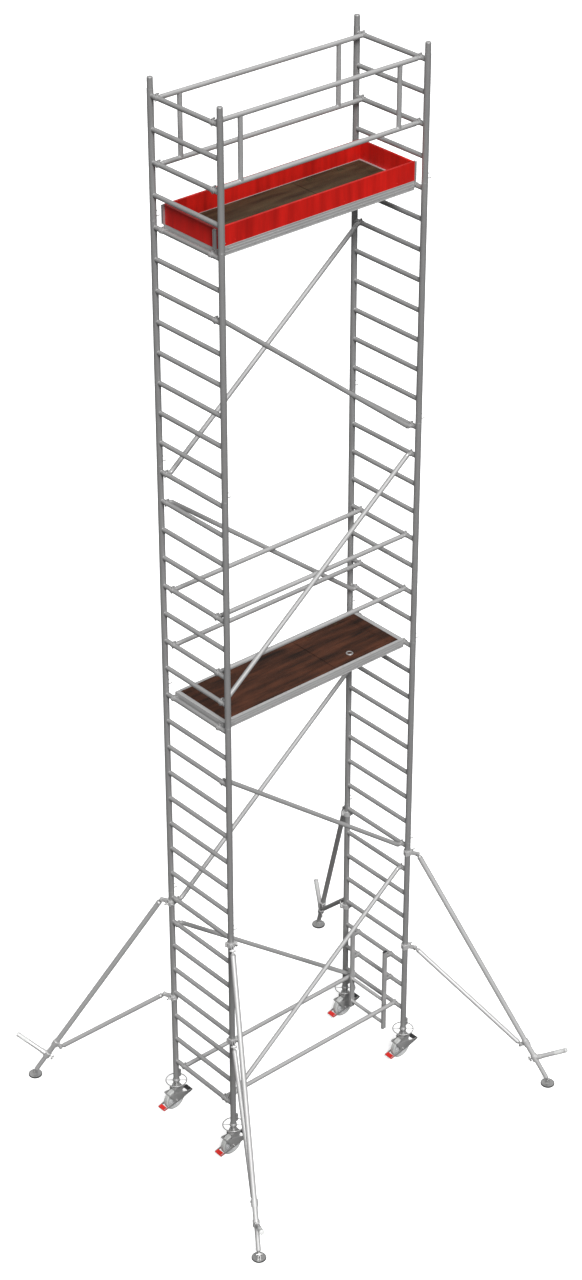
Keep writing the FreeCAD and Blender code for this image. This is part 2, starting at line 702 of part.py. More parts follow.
def make_hatch():
    """Trapdoor panel, its top at z = 0."""
    gap = size("hatch_gap")
    place = at(HATCH_START + gap, -size("hatch_width") / 2 + gap, -size("deck_thickness"))
    return box("hatch_panel", "hatch_length - 2 * hatch_gap", "hatch_width - 2 * hatch_gap",
               "deck_thickness", place)


def make_platform_hook():
    """Wide claw over the rung, its neck to the platform's end (+X) and its wind lock outside."""
    claw = make_claw("hook_claw", "claw_width")
    neck = make_neck("hook_neck", "beam_end_gap", "claw_width", "hook_neck_height")
    lock_place = at(-CLAW_RADIUS - size("claw_wall"), -size("claw_width") / 3, -size("lock_height") / 2)
    plate = box("wind_lock_plate", "lock_wall", "claw_width * 2 / 3", "lock_height", lock_place)
    lock = cut("wind_lock", plate, around_claw("wind_lock_trim"))
    return [claw, neck, lock]


def platforms():
    beam = make_side_beam()
    end_beam = make_end_beam()
    cross = make_cross_member()
    deck = make_deck()
    panel = make_hatch()
    fixed_hinge, moving_hinge = hinge_leaves()
    hook_pieces = make_platform_hook()
    beside_hatch = size("cross_width") / 2 - size("hatch_ledge")
    open_deck = HALF_DECK + HATCH_START
    stations = (-HALF_DECK + open_deck / 4, -HALF_DECK + open_deck * 0.6,
                HATCH_START - beside_hatch, HATCH_END + beside_hatch)
    hinge_fixed_pieces = []
    for name, rung in (("mid", MID_DECK_RUNG), ("top", TOP_DECK_RUNG)):
        z = rung_height(rung)
        frame = [copy(beam, at(y=-HALF_PLATFORM, z=z)),
                 copy(beam, at(y=HALF_PLATFORM, z=z, turn=about_z(180)))]
        frame.append(copy(end_beam, at(x=HALF_DECK, z=z)))
        frame.append(copy(end_beam, at(x=-HALF_DECK, z=z, turn=about_z(180))))
        frame += [copy(cross, at(x=x, z=z)) for x in stations]
        node(f"{name}_platform_beams", frame)
        node(f"{name}_platform_deck", [copy(deck, at(z=z + DECK_TOP))])
        hooks = []
        for along, across in CORNERS.values():
            y = across * (HALF_PLATFORM - size("platform_hook_inset"))
            turn = about_z(180 if along > 0 else 0)
            for piece in hook_pieces:
                hooks.append(copy(piece, at(along * HALF_BAY, y, z, turn)))
        node(f"{name}_platform_hooks", hooks)
        hatch = [copy(panel, at(z=z + DECK_TOP))]
        for x in hinge_stations():
            place = at(x, HINGE_Y, z + DECK_TOP + HINGE_Z)
            hatch += [copy(leaf, place) for leaf in moving_hinge]
            hinge_fixed_pieces += [copy(leaf, place) for leaf in fixed_hinge]
        node(f"{name}_hatch", hatch)
    node("hatch_hinge_pins", hinge_fixed_pieces)


# ---------------------------------------------------------------- toe boards
def toe_boards():
    z = rung_height(TOP_DECK_RUNG) + size("deck_rise")
    edge = HALF_BAY - size("toe_setback")
    long_board = box("long_board", "bay_length - 2 * toe_setback", "toe_thickness", "toe_height",
                     at(x=-edge))
    node("long_toe_boards", [
        copy(long_board, at(y=-HALF_PLATFORM, z=z)),
        copy(long_board, at(y=HALF_PLATFORM - size("toe_thickness"), z=z)),
    ])
    inner = HALF_PLATFORM - size("toe_thickness")
    short_board = box("short_board", "toe_thickness", "platform_width - 2 * toe_thickness", "toe_height",
                      at(y=-inner))
    node("short_toe_boards", [
        copy(short_board, at(x=-edge, z=z)),
        copy(short_board, at(x=edge - size("toe_thickness"), z=z)),
    ])
    depth = size("toe_bracket_depth")
    outside = box("toe_bracket_outside", "toe_bracket_depth", "toe_bracket_depth", "toe_height")
    wall = size("toe_bracket_wall")
    inside = box("toe_bracket_inside", "toe_bracket_depth", "toe_bracket_depth - 2 * toe_bracket_wall",
                 "toe_height", at(wall, wall))
    bracket = cut("toe_bracket", outside, inside)
    brackets = []
    for along, across in CORNERS.values():
        turn = about_z(180 if along < 0 else 0)
        offset = -depth if across * along > 0 else 0
        y = across * HALF_PLATFORM + (offset if along > 0 else -offset)
        brackets.append(copy(bracket, at(along * edge, y, z, turn)))
    node("toe_board_brackets", brackets)


# ---------------------------------------------------------------- access ladder
def access_ladder():
    x = HALF_BAY - size("ladder_setback")
    half_depth = size("ladder_stile_depth") / 2
    half_width = size("ladder_stile_width") / 2
    wall = size("ladder_wall")
    outside = box("stile_outside", "ladder_stile_depth", "ladder_stile_width", "ladder_length",
                  at(-half_depth, -half_width))
    inside = box("stile_inside", "ladder_stile_depth - 2 * ladder_wall",
                 "ladder_stile_width - 2 * ladder_wall", "ladder_length",
                 at(wall - half_depth, wall - half_width))
    stile = cut("ladder_stile", outside, inside)
    step = tube("ladder_step", "ladder_rung_diameter", "ladder_wall", "ladder_width - ladder_stile_width")
    stations = (-size("ladder_width") / 2, size("ladder_width") / 2)
    pieces = [copy(stile, at(x, y, size("ladder_bottom"))) for y in stations]
    first = size("ladder_bottom") + size("ladder_first_rung")
    for height in (first, first + RUNG_PITCH):
        pieces.append(copy(step, at(x, stations[0] + half_width, height, TURN_X)))
    node("access_ladder", pieces)
    claw = make_claw("ladder_claw", "ladder_stile_width")
    neck = make_neck("ladder_neck", "ladder_setback - ladder_stile_depth / 2", "ladder_stile_width",
                     "hook_neck_height")
    hooks = []
    for y in stations:
        for rung in (34, 35):
            place = at(HALF_BAY, y, rung_height(rung), about_z(180))
            hooks += [copy(claw, place), copy(neck, place)]
    node("access_ladder_hooks", hooks)


# ---------------------------------------------------------------- castors
AXLE_X = -size("castor_trail")
AXLE_Z = size("wheel_diameter") / 2
HUB_HALF = size("wheel_width") / 2 + 3
CHEEK_Y = HUB_HALF + size("fork_gap")
BRAKE_Y = CHEEK_Y + size("fork_wall") + size("brake_gap")
AXLE_HALF = BRAKE_Y + size("brake_wall") + 1


def make_spindle():
    """Threaded tube with its flange, and the kingpin through the swivel bearing."""
    flange = cylinder("spindle_flange", "swivel_diameter / 2 - 2", "spindle_flange", at(z=FLANGE_Z))
    stem = tube("spindle_stem", "spindle_diameter", "spindle_wall", "spindle_length")
    stem.Placement = at(z=FLANGE_TOP)
    body = fuse("spindle", flange, stem)
    bottom = CROWN_BOTTOM - size("seat_gap")
    head_height = size("kingpin_diameter") / 2
    pin = cylinder("kingpin_rod", "kingpin_diameter / 2", str(FLANGE_Z - bottom), at(z=bottom))
    head = cylinder("kingpin_head", "kingpin_diameter * 0.8", "kingpin_diameter / 2",
                    at(z=bottom - head_height))
    return [body, fuse("kingpin", pin, head)]


def make_handwheel():
    """Height nut: hub, four spokes and a round rim, its hub's foot at z = 0."""
    body = new_body("handwheel")
    hub = sketch_on(body, "XY_Plane", "hub_ring")
    add_circle(hub, 0, 0, "nut_diameter / 2")
    add_circle(hub, 0, 0, "spindle_diameter / 2 + running_gap")
    pad(body, hub, "nut_height")
    DOC.recompute()
    rim = sketch_on(body, "XZ_Plane", "rim_section")
    rim_radius = (size("handwheel_diameter") - size("handwheel_wire")) / 2
    rim_height = size("nut_height") / 3
    add_circle(rim, rim_radius, rim_height, "handwheel_wire / 2")
    spoke = sketch_on(body, "YZ_Plane", "spoke_section")
    add_circle(spoke, 0, rim_height, "handwheel_wire / 2 - 1")
    spoke_feature = body.newObject("PartDesign::Pad", "spoke_pad")
    spoke_feature.Profile = spoke
    bind(spoke_feature, Length="handwheel_diameter - handwheel_wire")
    spoke_feature.Midplane = True
    DOC.recompute()
    second = sketch_on(body, "XZ_Plane", "cross_spoke_section")
    add_circle(second, 0, rim_height, "handwheel_wire / 2 - 1")
    pad(body, second, "handwheel_diameter - handwheel_wire", midplane=True)
    DOC.recompute()
    revolved(body, rim, "Z_Axis")
    DOC.recompute()
    bore = sketch_on(body, "XY_Plane", "thread_bore")
    add_circle(bore, 0, 0, "spindle_diameter / 2 + running_gap")
    pocket_through(body, bore)
    return body


def make_fork():
    """Pressed fork: crown, two cheeks and the lower race, with the axle bolt held in it."""
    half_crown = size("crown_width") / 2
    wall = size("fork_wall")
    cheek = new_body("fork_cheek")
    outline = sketch_on(cheek, "XZ_Plane", "cheek_outline")
    boss = 20
    add_outline(outline, [
        (-half_crown, CROWN_TOP), (half_crown, CROWN_TOP), (half_crown, CROWN_TOP - 26),
        (AXLE_X + boss, AXLE_Z - 4), (AXLE_X + boss / 2, AXLE_Z - boss), (AXLE_X - boss / 2, AXLE_Z - boss),
        (AXLE_X - boss, AXLE_Z - 4), (-half_crown, CROWN_TOP - 34),
    ])
    pad(cheek, outline, "fork_wall")
    DOC.recompute()
    far_cheek = copy(cheek, at(y=CHEEK_Y + wall))
    near_cheek = copy(cheek, at(y=-CHEEK_Y))
    crown = box("fork_crown", "crown_width", str(2 * (CHEEK_Y + wall)), "fork_wall",
                at(-half_crown, -CHEEK_Y - wall, CROWN_BOTTOM))
    race = cylinder("fork_race", "swivel_diameter / 2", "swivel_height", at(z=CROWN_TOP))
    shell = fuse("fork_shell", crown, race, near_cheek, far_cheek)
    king_bore = cylinder("fork_king_bore", "kingpin_diameter / 2 + running_gap",
                         str(FLANGE_Z - CROWN_BOTTOM), at(z=CROWN_BOTTOM))
    axle_bore = cylinder("fork_axle_bore", "axle_diameter / 2", str(2 * AXLE_HALF),
                         at(AXLE_X, -AXLE_HALF, AXLE_Z, TURN_X))
    fork = cut("fork", shell, king_bore, axle_bore)
    axle_rod = cylinder("axle_rod", "axle_diameter / 2", str(2 * AXLE_HALF),
                        at(AXLE_X, -AXLE_HALF, AXLE_Z, TURN_X))
    pieces = [axle_rod]
    for side in SIDES:
        y = side * AXLE_HALF - (8 if side < 0 else 0)
        pieces.append(cylinder("axle_nut", "axle_diameter * 0.8", "8", at(AXLE_X, y, AXLE_Z, TURN_X)))
    return [fork, fuse("axle_bolt", *pieces)]


def make_wheel():
    """Tyre and hub, turned about the axle (Y), centred on the origin."""
    bore = size("axle_diameter") / 2 + size("running_gap")
    outer = size("wheel_diameter") / 2
    seat = outer - size("tyre_depth")
    half = size("wheel_width") / 2
    pieces = []
    profiles = {
        "tyre": [(seat, -half + 4), (outer - 6, -half), (outer, -half + 8), (outer, half - 8),
                 (outer - 6, half), (seat, half - 4)],
        "hub": [(bore, -HUB_HALF), (24, -HUB_HALF), (24, -8), (seat - 12, -8), (seat - 12, -half + 4),
                (seat, -half + 4), (seat, half - 4), (seat - 12, half - 4), (seat - 12, 8), (24, 8),
                (24, HUB_HALF), (bore, HUB_HALF)],
    }
    for name, points in profiles.items():
        body = new_body("wheel_" + name)
        section = sketch_on(body, "XZ_Plane", name + "_section")
        add_outline(section, points)
        revolved(body, section, "Z_Axis")
        pieces.append(body)
    DOC.recompute()
    return pieces


WHEEL_RADIUS = size("wheel_diameter") / 2
TIE_ANGLE = 132
RED_ANGLE = 197
BLACK_ANGLE = 9.5


def by_axle(reach, angle):
    """Point in the wheel's plane, by its distance and direction from the axle."""
    turned = math.radians(angle)
    return (AXLE_X + reach * math.cos(turned), AXLE_Z + reach * math.sin(turned))


def make_brake():
    """Rocker on the axle: two side plates, a pedal at each end and a tie bar."""
    wall = size("brake_wall")
    red = by_axle(WHEEL_RADIUS + size("red_pedal_gap"), RED_ANGLE)
    black = by_axle(WHEEL_RADIUS + size("black_pedal_gap"), BLACK_ANGLE)
    tie_reach = WHEEL_RADIUS + size("tie_gap")
    plate = new_body("brake_plate")
    outline = sketch_on(plate, "XZ_Plane", "plate_outline")
    add_outline(outline, [
        by_axle(WHEEL_RADIUS + 50, RED_ANGLE + 3), by_axle(26, 265), by_axle(62, 347),
        by_axle(WHEEL_RADIUS + 66, BLACK_ANGLE - 3), by_axle(WHEEL_RADIUS + 66, BLACK_ANGLE + 5),
        by_axle(84, 21), by_axle(40, 41), by_axle(tie_reach, TIE_ANGLE - 6),
        by_axle(tie_reach + 4, TIE_ANGLE + 6), by_axle(14, 135), by_axle(10, 190),
        by_axle(WHEEL_RADIUS + 48, RED_ANGLE - 5),
    ])
    pad(plate, outline, "brake_wall")
    DOC.recompute()
    bore = cylinder("brake_bore", "axle_diameter / 2 + running_gap", str(2 * AXLE_HALF),
                    at(AXLE_X, -AXLE_HALF, AXLE_Z, TURN_X))
    pieces = []
    for y in (-BRAKE_Y, BRAKE_Y + wall):
        pieces.append(cut("brake_side", copy(plate, at(y=y)), bore))
    tie_x, tie_z = by_axle(tie_reach, TIE_ANGLE)
    pieces.append(cylinder("brake_tie", "tie_diameter / 2", str(2 * BRAKE_Y),
                           at(tie_x, -BRAKE_Y, tie_z, TURN_X)))
    turned = about_y(RED_ANGLE - 180 - 30)
    for name, (x, z) in (("pedal_red", red), ("pedal_black", black)):
        corner = Vector(-size("pedal_length") / 2, -BRAKE_Y, -size("pedal_thickness") / 2)
        item = box(name, "pedal_length", str(2 * BRAKE_Y), "pedal_thickness")
        item.Placement = Placement(Vector(x, 0, z) + turned.multVec(corner), turned)
        pieces.append(item)
    return pieces


def castors():
    spindle = make_spindle()
    handwheel = make_handwheel()
    fork = make_fork()
    wheel = make_wheel()
    brake = make_brake()
    for corner, (along, across) in CORNERS.items():
        spot = at(along * HALF_BAY, across * HALF_FRAME)
        node("castor_spindle_" + corner, [copy(piece, at()) for piece in spindle], spot)
        node("castor_handwheel_" + corner, [copy(handwheel, at(z=HANDWHEEL_Z))], spot)
        node("castor_fork_" + corner, [copy(piece, at()) for piece in fork], spot)
        axle = at(AXLE_X, 0, AXLE_Z, TURN_X)
        node("castor_wheel_" + corner, [copy(piece, axle) for piece in wheel], spot)
        node("castor_brake_" + corner, [copy(piece, at()) for piece in brake], spot)


# ---------------------------------------------------------------- outriggers
# Local frame of one outrigger: post axis at the origin, X outwards towards the foot.
UPPER_COUPLER_Z = rung_height(29) - size("coupler_drop")
LOWER_COUPLER_Z = rung_height(33) - size("coupler_drop")
UPPER_PIVOT = Vector(size("coupler_reach"), 0, UPPER_COUPLER_Z)
LOWER_PIVOT = Vector(size("coupler_reach"), 0, LOWER_COUPLER_Z)
FOOT_PIVOT = Vector(size("outrigger_radius"), 0, size("foot_pivot"))
TUBE_LINE = (FOOT_PIVOT - UPPER_PIVOT).normalize()
TUBE_LENGTH = (FOOT_PIVOT - UPPER_PIVOT).Length
TUBE_TURN = Rotation(Vector(0, 0, 1), TUBE_LINE)
INWARD = Vector(TUBE_LINE.z, 0, -TUBE_LINE.x)
STRUT_PIVOT = UPPER_PIVOT + TUBE_LINE * size("collar_station") + INWARD * size("collar_lug")
STRUT_LINE = (STRUT_PIVOT - LOWER_PIVOT).normalize()
EYE_GAP = size("eye_gap")


def along_tube(distance, turn=None):
    return Placement(UPPER_PIVOT + TUBE_LINE * distance, turn or TUBE_TURN)


def make_eye(name, centre, line, plug_radius):
    """Flat eye on a pivot pin, with its shank running along a line to a plug in a tube's end."""
    half = size("eye_thickness") / 2
    disc = cylinder(name + "_disc", "eye_radius", "eye_thickness",
                    Placement(centre + Vector(0, -half, 0), TURN_X))
    turn = Rotation(Vector(0, 0, 1), line)
    corner = turn.multVec(Vector(-half, -half, 0))
    shank = box(name + "_shank", "eye_thickness", "eye_thickness", "eye_gap + 1",
                Placement(centre + corner, turn))
    plug = cylinder(name + "_plug", plug_radius, "plug_length", Placement(centre + line * EYE_GAP, turn))
    bore = cylinder(name + "_bore", "pivot_pin / 2 + running_gap", "eye_thickness",
                    Placement(centre + Vector(0, -half, 0), TURN_X))
    return cut(name, fuse(name + "_blank", disc, shank, plug), bore)


def make_clevis(name, centre, anchor, tool):
    """Two plates round an eye, reaching back to an anchor point, and cut clear of a tool."""
    inner = size("eye_thickness") / 2 + size("clevis_gap")
    wall = size("clevis_wall")
    line = anchor - centre
    turn = Rotation(Vector(0, 0, 1), Vector(line).normalize())
    plates = []
    for y in (-inner - wall, inner):
        disc = cylinder(name + "_disc", "eye_radius", "clevis_wall",
                        Placement(centre + Vector(0, y, 0), TURN_X))
        corner = turn.multVec(Vector(-size("eye_radius"), 0, 0)) + Vector(0, y, 0)
        arm = box(name + "_arm", "2 * eye_radius", "clevis_wall", str(line.Length),
                  Placement(centre + corner, turn))
        plates += [disc, arm]
    bore = cylinder(name + "_bore", "pivot_pin / 2", str(2 * (inner + wall)),
                    Placement(centre + Vector(0, -inner - wall, 0), TURN_X))
    return cut(name, fuse(name + "_plates", *plates), bore, tool)


def make_pin(name, centre):
    half = size("eye_thickness") / 2 + size("clevis_gap") + size("clevis_wall") + 3
    rod = cylinder(name + "_rod", "pivot_pin / 2", str(2 * half), Placement(centre + Vector(0, -half, 0), TURN_X))
    head = cylinder(name + "_head", "pivot_pin * 0.8", "5",
                    Placement(centre + Vector(0, -half - 5, 0), TURN_X))
    return fuse(name, rod, head)


def make_coupler(name, z, pivot):
    """Two jaws round the post, hinged on one side and bolted on the other, with a clevis."""
    bore = "( post_diameter / 2 + coupler_gap )"
    low = at(z=z - size("coupler_height") / 2)
    band = ring(name + "_band", bore, "coupler_wall", "coupler_height", low)
    radius = size("post_diameter") / 2 + size("coupler_gap") + size("coupler_wall")
    ear = box(name + "_ear", "24", "22", "coupler_height * 0.8",
              at(-12, radius - 4, z - size("coupler_height") * 0.4))
    knuckle = cylinder(name + "_knuckle", "9", "coupler_height", at(0, -radius - 4, z - size("coupler_height") / 2))
    blank = fuse(name + "_blank", band, ear, knuckle)
    slot = box(name + "_slot", "3", "200", "100", at(-1.5, 0, z - 50))
    hinge_slot = box(name + "_hinge_slot", "0.6", "200", "100", at(-0.3, -200, z - 50))
    jaws = cut(name + "_jaws", blank, slot, hinge_slot)
    keep_out = cylinder(name + "_keep_out", f"{bore} + coupler_wall", "100", at(z=z - 50))
    clevis = make_clevis(name + "_clevis", pivot, Vector(0, 0, z), keep_out)
    bolt_y = radius + 8
    bolt = cylinder(name + "_bolt", "5", "60", at(-30, bolt_y, z, TURN_Y))
    nut = cylinder(name + "_nut", "9", "9", at(12, bolt_y, z, TURN_Y))
    bolt_bore = cylinder(name + "_bolt_bore", "5", "60", at(-30, bolt_y, z, TURN_Y))
    return [cut(name, jaws, bolt_bore), clevis, fuse(name + "_eyebolt", bolt, nut), make_pin(name + "_pin", pivot)]


def make_outrigger_arm():
    """Everything of an outrigger that swings round the post with the couplers."""
    pieces = make_coupler("upper_coupler", UPPER_COUPLER_Z, UPPER_PIVOT)
    pieces += make_coupler("lower_coupler", LOWER_COUPLER_Z, LOWER_PIVOT)
    main = tube("main_tube", "outrigger_tube", "outrigger_wall", "main_tube_end - eye_gap")
    main.Placement = along_tube(EYE_GAP)
    pieces.append(main)
    pieces.append(make_eye("main_eye", UPPER_PIVOT, TUBE_LINE, "outrigger_tube / 2 - outrigger_wall"))
    strut_length = (STRUT_PIVOT - LOWER_PIVOT).Length
    strut = tube("strut_tube", "strut_diameter", "strut_wall", str(strut_length - 2 * EYE_GAP))
    strut.Placement = Placement(LOWER_PIVOT + STRUT_LINE * EYE_GAP, Rotation(Vector(0, 0, 1), STRUT_LINE))
    pieces.append(strut)
    strut_bore = "strut_diameter / 2 - strut_wall"
    pieces.append(make_eye("strut_upper_eye", LOWER_PIVOT, STRUT_LINE, strut_bore))
    pieces.append(make_eye("strut_lower_eye", STRUT_PIVOT, -STRUT_LINE, strut_bore))
    half = size("collar_length") / 2
    tube_bore = "( outrigger_tube / 2 + running_gap )"
    collar = ring("collar", tube_bore, "collar_wall", "collar_length",
                  along_tube(size("collar_station") - half))
    pieces.append(collar)
    around = cylinder("collar_round", f"{tube_bore} + collar_wall", "300",
                      along_tube(size("collar_station") - 150))
    axis_point = UPPER_PIVOT + TUBE_LINE * size("collar_station")
    pieces.append(make_clevis("collar_clevis", STRUT_PIVOT, axis_point, around))
    pieces.append(make_pin("collar_pin", STRUT_PIVOT))
    pieces += make_tube_clamp()
    return pieces


def make_tube_clamp():
    """Clamp on the main tube's lower end that locks the leg, with its tube handle and wing bolt."""
    station = size("main_tube_end") - size("collar_length") / 2 + 2
    tube_bore = "( outrigger_tube / 2 + running_gap )"
    start = along_tube(station - size("collar_length") / 2)
    band = ring("clamp_band", tube_bore, "collar_wall", "collar_length - 4", start)
    centre = UPPER_PIVOT + TUBE_LINE * station
    radius = size("outrigger_tube") / 2 + size("running_gap") + size("collar_wall")
    outward = Rotation(Vector(0, 0, 1), -INWARD)
    socket = cylinder("clamp_socket", "handle_diameter / 2 + 3", "40",
                      Placement(centre - INWARD * (radius - 6), outward))
    socket_bore = cylinder("clamp_socket_bore", "handle_diameter / 2", "60",
                           Placement(centre - INWARD * (radius + 4), outward))
    bore = cylinder("clamp_bore", tube_bore, "collar_length - 4", start)
    clamp = cut("clamp", fuse("clamp_blank", band, socket), socket_bore, bore)
    handle = tube("clamp_handle", "handle_diameter", "2.5", "handle_length")
    handle.Placement = Placement(centre - INWARD * (radius + 4), outward)
    inward = Rotation(Vector(0, 0, 1), INWARD)
    stud = cylinder("wing_stud", "5", "36", Placement(centre + INWARD * radius, inward))
    wing = box("wing_blades", "52", "6", "16")
    corner = inward.multVec(Vector(-26, -3, 0))
    wing.Placement = Placement(centre + INWARD * (radius + 14) + corner, inward)
    return [clamp, handle, fuse("wing_bolt", stud, wing)]


def make_outrigger_leg():
    """Telescopic leg inside the main tube, with its eye on the foot's pin."""
    wall = "leg_wall"
    diameter = "( outrigger_tube - 2 * outrigger_wall - 2 * leg_gap )"
    start = size("main_tube_end") - size("leg_overlap")
    leg = tube("leg_tube", diameter, wall, str(TUBE_LENGTH - EYE_GAP - start))
    leg.Placement = along_tube(start)
    eye = make_eye("leg_eye", FOOT_PIVOT, -TUBE_LINE, f"{diameter} / 2 - {wall}")
    return [leg, eye]


def make_outrigger_foot():
    """Swivel foot: rubber pad, round plate, two ears and the pivot pin."""
    centre = Vector(size("outrigger_radius"), 0, 0)
    rubber = cylinder("foot_rubber", "foot_diameter / 2 - 3", "foot_pad", Placement(centre, Rotation()))
    plate_z = Vector(0, 0, size("foot_pad"))
    plate = cylinder("foot_disc", "foot_diameter / 2", "foot_plate", Placement(centre + plate_z, Rotation()))
    inner = size("eye_thickness") / 2 + size("clevis_gap")
    parts = [plate]
    base_z = size("foot_pad") + size("foot_plate") / 2
    for y in (-inner - size("clevis_wall"), inner):
        parts.append(cylinder("foot_ear_disc", "eye_radius", "clevis_wall",
                              Placement(FOOT_PIVOT + Vector(0, y, 0), TURN_X)))
        spot = centre + Vector(-size("eye_radius"), y, base_z)
        parts.append(box("foot_ear", "2 * eye_radius", "clevis_wall", f"foot_pivot - {base_z}",
                         Placement(spot, Rotation())))
    half = inner + size("clevis_wall")
    bore = cylinder("foot_bore", "pivot_pin / 2", str(2 * half),
                    Placement(FOOT_PIVOT + Vector(0, -half, 0), TURN_X))
    return [rubber, cut("foot_plate_ears", fuse("foot_blank", *parts), bore), make_pin("foot_pin", FOOT_PIVOT)]


def outriggers():
    arm = make_outrigger_arm()
    leg = make_outrigger_leg()
    foot = make_outrigger_foot()
    azimuth = size("outrigger_azimuth")
    angles = {
        "rear_right": azimuth,
        "rear_left": 180 - azimuth,
        "front_left": 180 + azimuth,
        "front_right": -azimuth,
    }
    for corner, (along, across) in CORNERS.items():
        spot = at(along * HALF_BAY, across * HALF_FRAME, 0, about_z(angles[corner]))
        node("outrigger_arm_" + corner, [copy(piece, at()) for piece in arm], spot)
        node("outrigger_leg_" + corner, [copy(piece, at()) for piece in leg], spot)
        node("outrigger_foot_" + corner, [copy(piece, at()) for piece in foot], spot)


# ---------------------------------------------------------------- build, check, write
end_frames()
frame_joints()
braces_and_rails()
platforms()
toe_boards()
access_ladder()
castors()
outriggers()
DOC.recompute()

for item in DOC.Objects:
    if "Invalid" in item.State or "Error" in item.State:
        raise ValueError(f"{item.Name} failed: {item.State}")
os.makedirs("parts", exist_ok=True)
for item in NODES:
    if item.Shape.isNull() or not item.Shape.isValid():
        raise ValueError(f"{item.Label} has no valid shape")
    item.Shape.exportStep(f"parts/{item.Label}.step")
print(len(NODES), "nodes,", sum(len(item.Shape.Solids) for item in NODES), "solids")
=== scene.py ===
import json
import math

import bmesh
import bpy
from mathutils import Euler, Matrix, Vector


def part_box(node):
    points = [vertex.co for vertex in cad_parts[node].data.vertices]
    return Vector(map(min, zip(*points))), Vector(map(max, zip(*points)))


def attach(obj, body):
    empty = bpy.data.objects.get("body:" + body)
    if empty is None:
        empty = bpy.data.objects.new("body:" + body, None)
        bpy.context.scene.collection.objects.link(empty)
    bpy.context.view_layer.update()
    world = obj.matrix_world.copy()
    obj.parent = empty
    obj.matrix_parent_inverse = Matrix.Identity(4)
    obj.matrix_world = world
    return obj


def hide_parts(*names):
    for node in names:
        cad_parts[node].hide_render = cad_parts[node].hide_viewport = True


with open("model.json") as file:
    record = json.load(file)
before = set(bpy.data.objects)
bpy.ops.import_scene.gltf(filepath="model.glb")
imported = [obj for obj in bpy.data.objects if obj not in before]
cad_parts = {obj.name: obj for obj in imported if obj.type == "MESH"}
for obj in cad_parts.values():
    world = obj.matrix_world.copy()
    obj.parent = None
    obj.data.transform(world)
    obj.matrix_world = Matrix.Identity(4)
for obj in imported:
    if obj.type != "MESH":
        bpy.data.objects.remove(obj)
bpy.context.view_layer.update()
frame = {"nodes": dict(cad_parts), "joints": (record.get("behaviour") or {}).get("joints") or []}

# ---------------- places read from the frame
CORNERS = ("front_left", "rear_left", "front_right", "rear_right")
JOINTS = {joint["name"]: joint for joint in frame["joints"]}
LIFTS = 5
RUNGS_PER_LIFT = 8
RUNG_COUNT = 36
RUNG_PITCH = 0.25
FIRST_RUNG = 0.2
POST_RADIUS = 0.025
RUNG_RADIUS = 0.016
BRACE_RADIUS = 0.019
CLIP_HOLES = (0.025, 0.065)
# brace and rail ends, from the post's axis
BRACE_JOINT = 0.04
BRACE_SHOULDER = 0.008
RAIL_JOINT = 0.045
# ribbed treads over the rungs
RUNG_WELD = 0.003
RUNG_RIBS = 14
TREAD_LOW = 0.0184
TREAD_HIGH = 0.0192
# platforms, toe boards and guard frames
BEAM_TOP_LINE = 0.288
BOARD_THICKNESS = 0.02
LADDER_STILE = 0.02
UPRIGHT_INSET = 0.225
UPRIGHT_SHIFT = 0.02
# outriggers: couplers from the post's axis, stations along the main tube
COUPLER_REACH = 0.092
COUPLER_DROP = 0.054
COLLAR_STATION = 2.07
CLAMP_STATION = 2.24
COLLAR_LUG = 0.058
CLAMP_RADIUS = 0.0336
HANDLE_LENGTH = 0.275
MAIN_TUBE_RADIUS = 0.0225
STRUT_RADIUS = 0.02
EYEBOLT_Y = 0.0434
BOLT_SEAT = 0.0145
# radians: edges that turn more than this are bevelled
SHARP_ANGLE = 0.5
AXIS_X = Matrix.Rotation(math.radians(90), 4, "Y")
AXIS_Y = Matrix.Rotation(math.radians(-90), 4, "X")
FLIP = Matrix.Rotation(math.pi, 4, "X")


def centre(node):
    low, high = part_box(node)
    return (low + high) / 2


def at(x=0.0, y=0.0, z=0.0):
    return Matrix.Translation((x, y, z))


def turn_x(degrees):
    return Matrix.Rotation(math.radians(degrees), 4, "X")


def turn_z(degrees):
    return Matrix.Rotation(math.radians(degrees), 4, "Z")


def turn_y(degrees):
    return Matrix.Rotation(math.radians(degrees), 4, "Y")


def facing(side):
    """Turn Z outwards, to -Y or +Y."""
    return turn_x(-90 * side)


def towards(line):
    """Turn Z along a line."""
    return line.to_track_quat("Z", "Y").to_matrix().to_4x4()


POSTS = {corner: Vector(JOINTS["castor_swivel_" + corner]["pos_m"]) for corner in CORNERS}
HALF_BAY = abs(POSTS["rear_right"].x)
HALF_FRAME = abs(POSTS["rear_right"].y)
POST_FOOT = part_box("end_frames_lift_1")[0].z


def rung_height(number):
    """Height of a rung's axis; rung 1 is the highest."""
    return POST_FOOT + FIRST_RUNG + (RUNG_COUNT - number) * RUNG_PITCH


# ---------------- shader helper
class Value:
    """A value that changes over a surface; arithmetic on it adds Math nodes."""

    def __init__(self, paint, socket):
        self.paint = paint
        self.socket = socket

    def math(self, operation, *values):
        inputs = dict(enumerate(values))
        return self.paint.node("ShaderNodeMath", {"operation": operation}, inputs)

    def __add__(self, other):
        return self.math("ADD", self, other)

    __radd__ = __add__

    def __sub__(self, other):
        return self.math("SUBTRACT", self, other)

    def __rsub__(self, other):
        return self.math("SUBTRACT", other, self)

    def __mul__(self, other):
        return self.math("MULTIPLY", self, other)

    def __truediv__(self, other):
        return self.math("DIVIDE", self, other)

    def __gt__(self, other):
        return self.math("GREATER_THAN", self, other)

    def __lt__(self, other):
        return self.math("LESS_THAN", self, other)

    def __abs__(self):
        return self.math("ABSOLUTE", self)

    def fraction(self):
        return self.math("FRACT", self)

    def clamped(self):
        return self.math("MAXIMUM", self.math("MINIMUM", self, 1.0), 0.0)


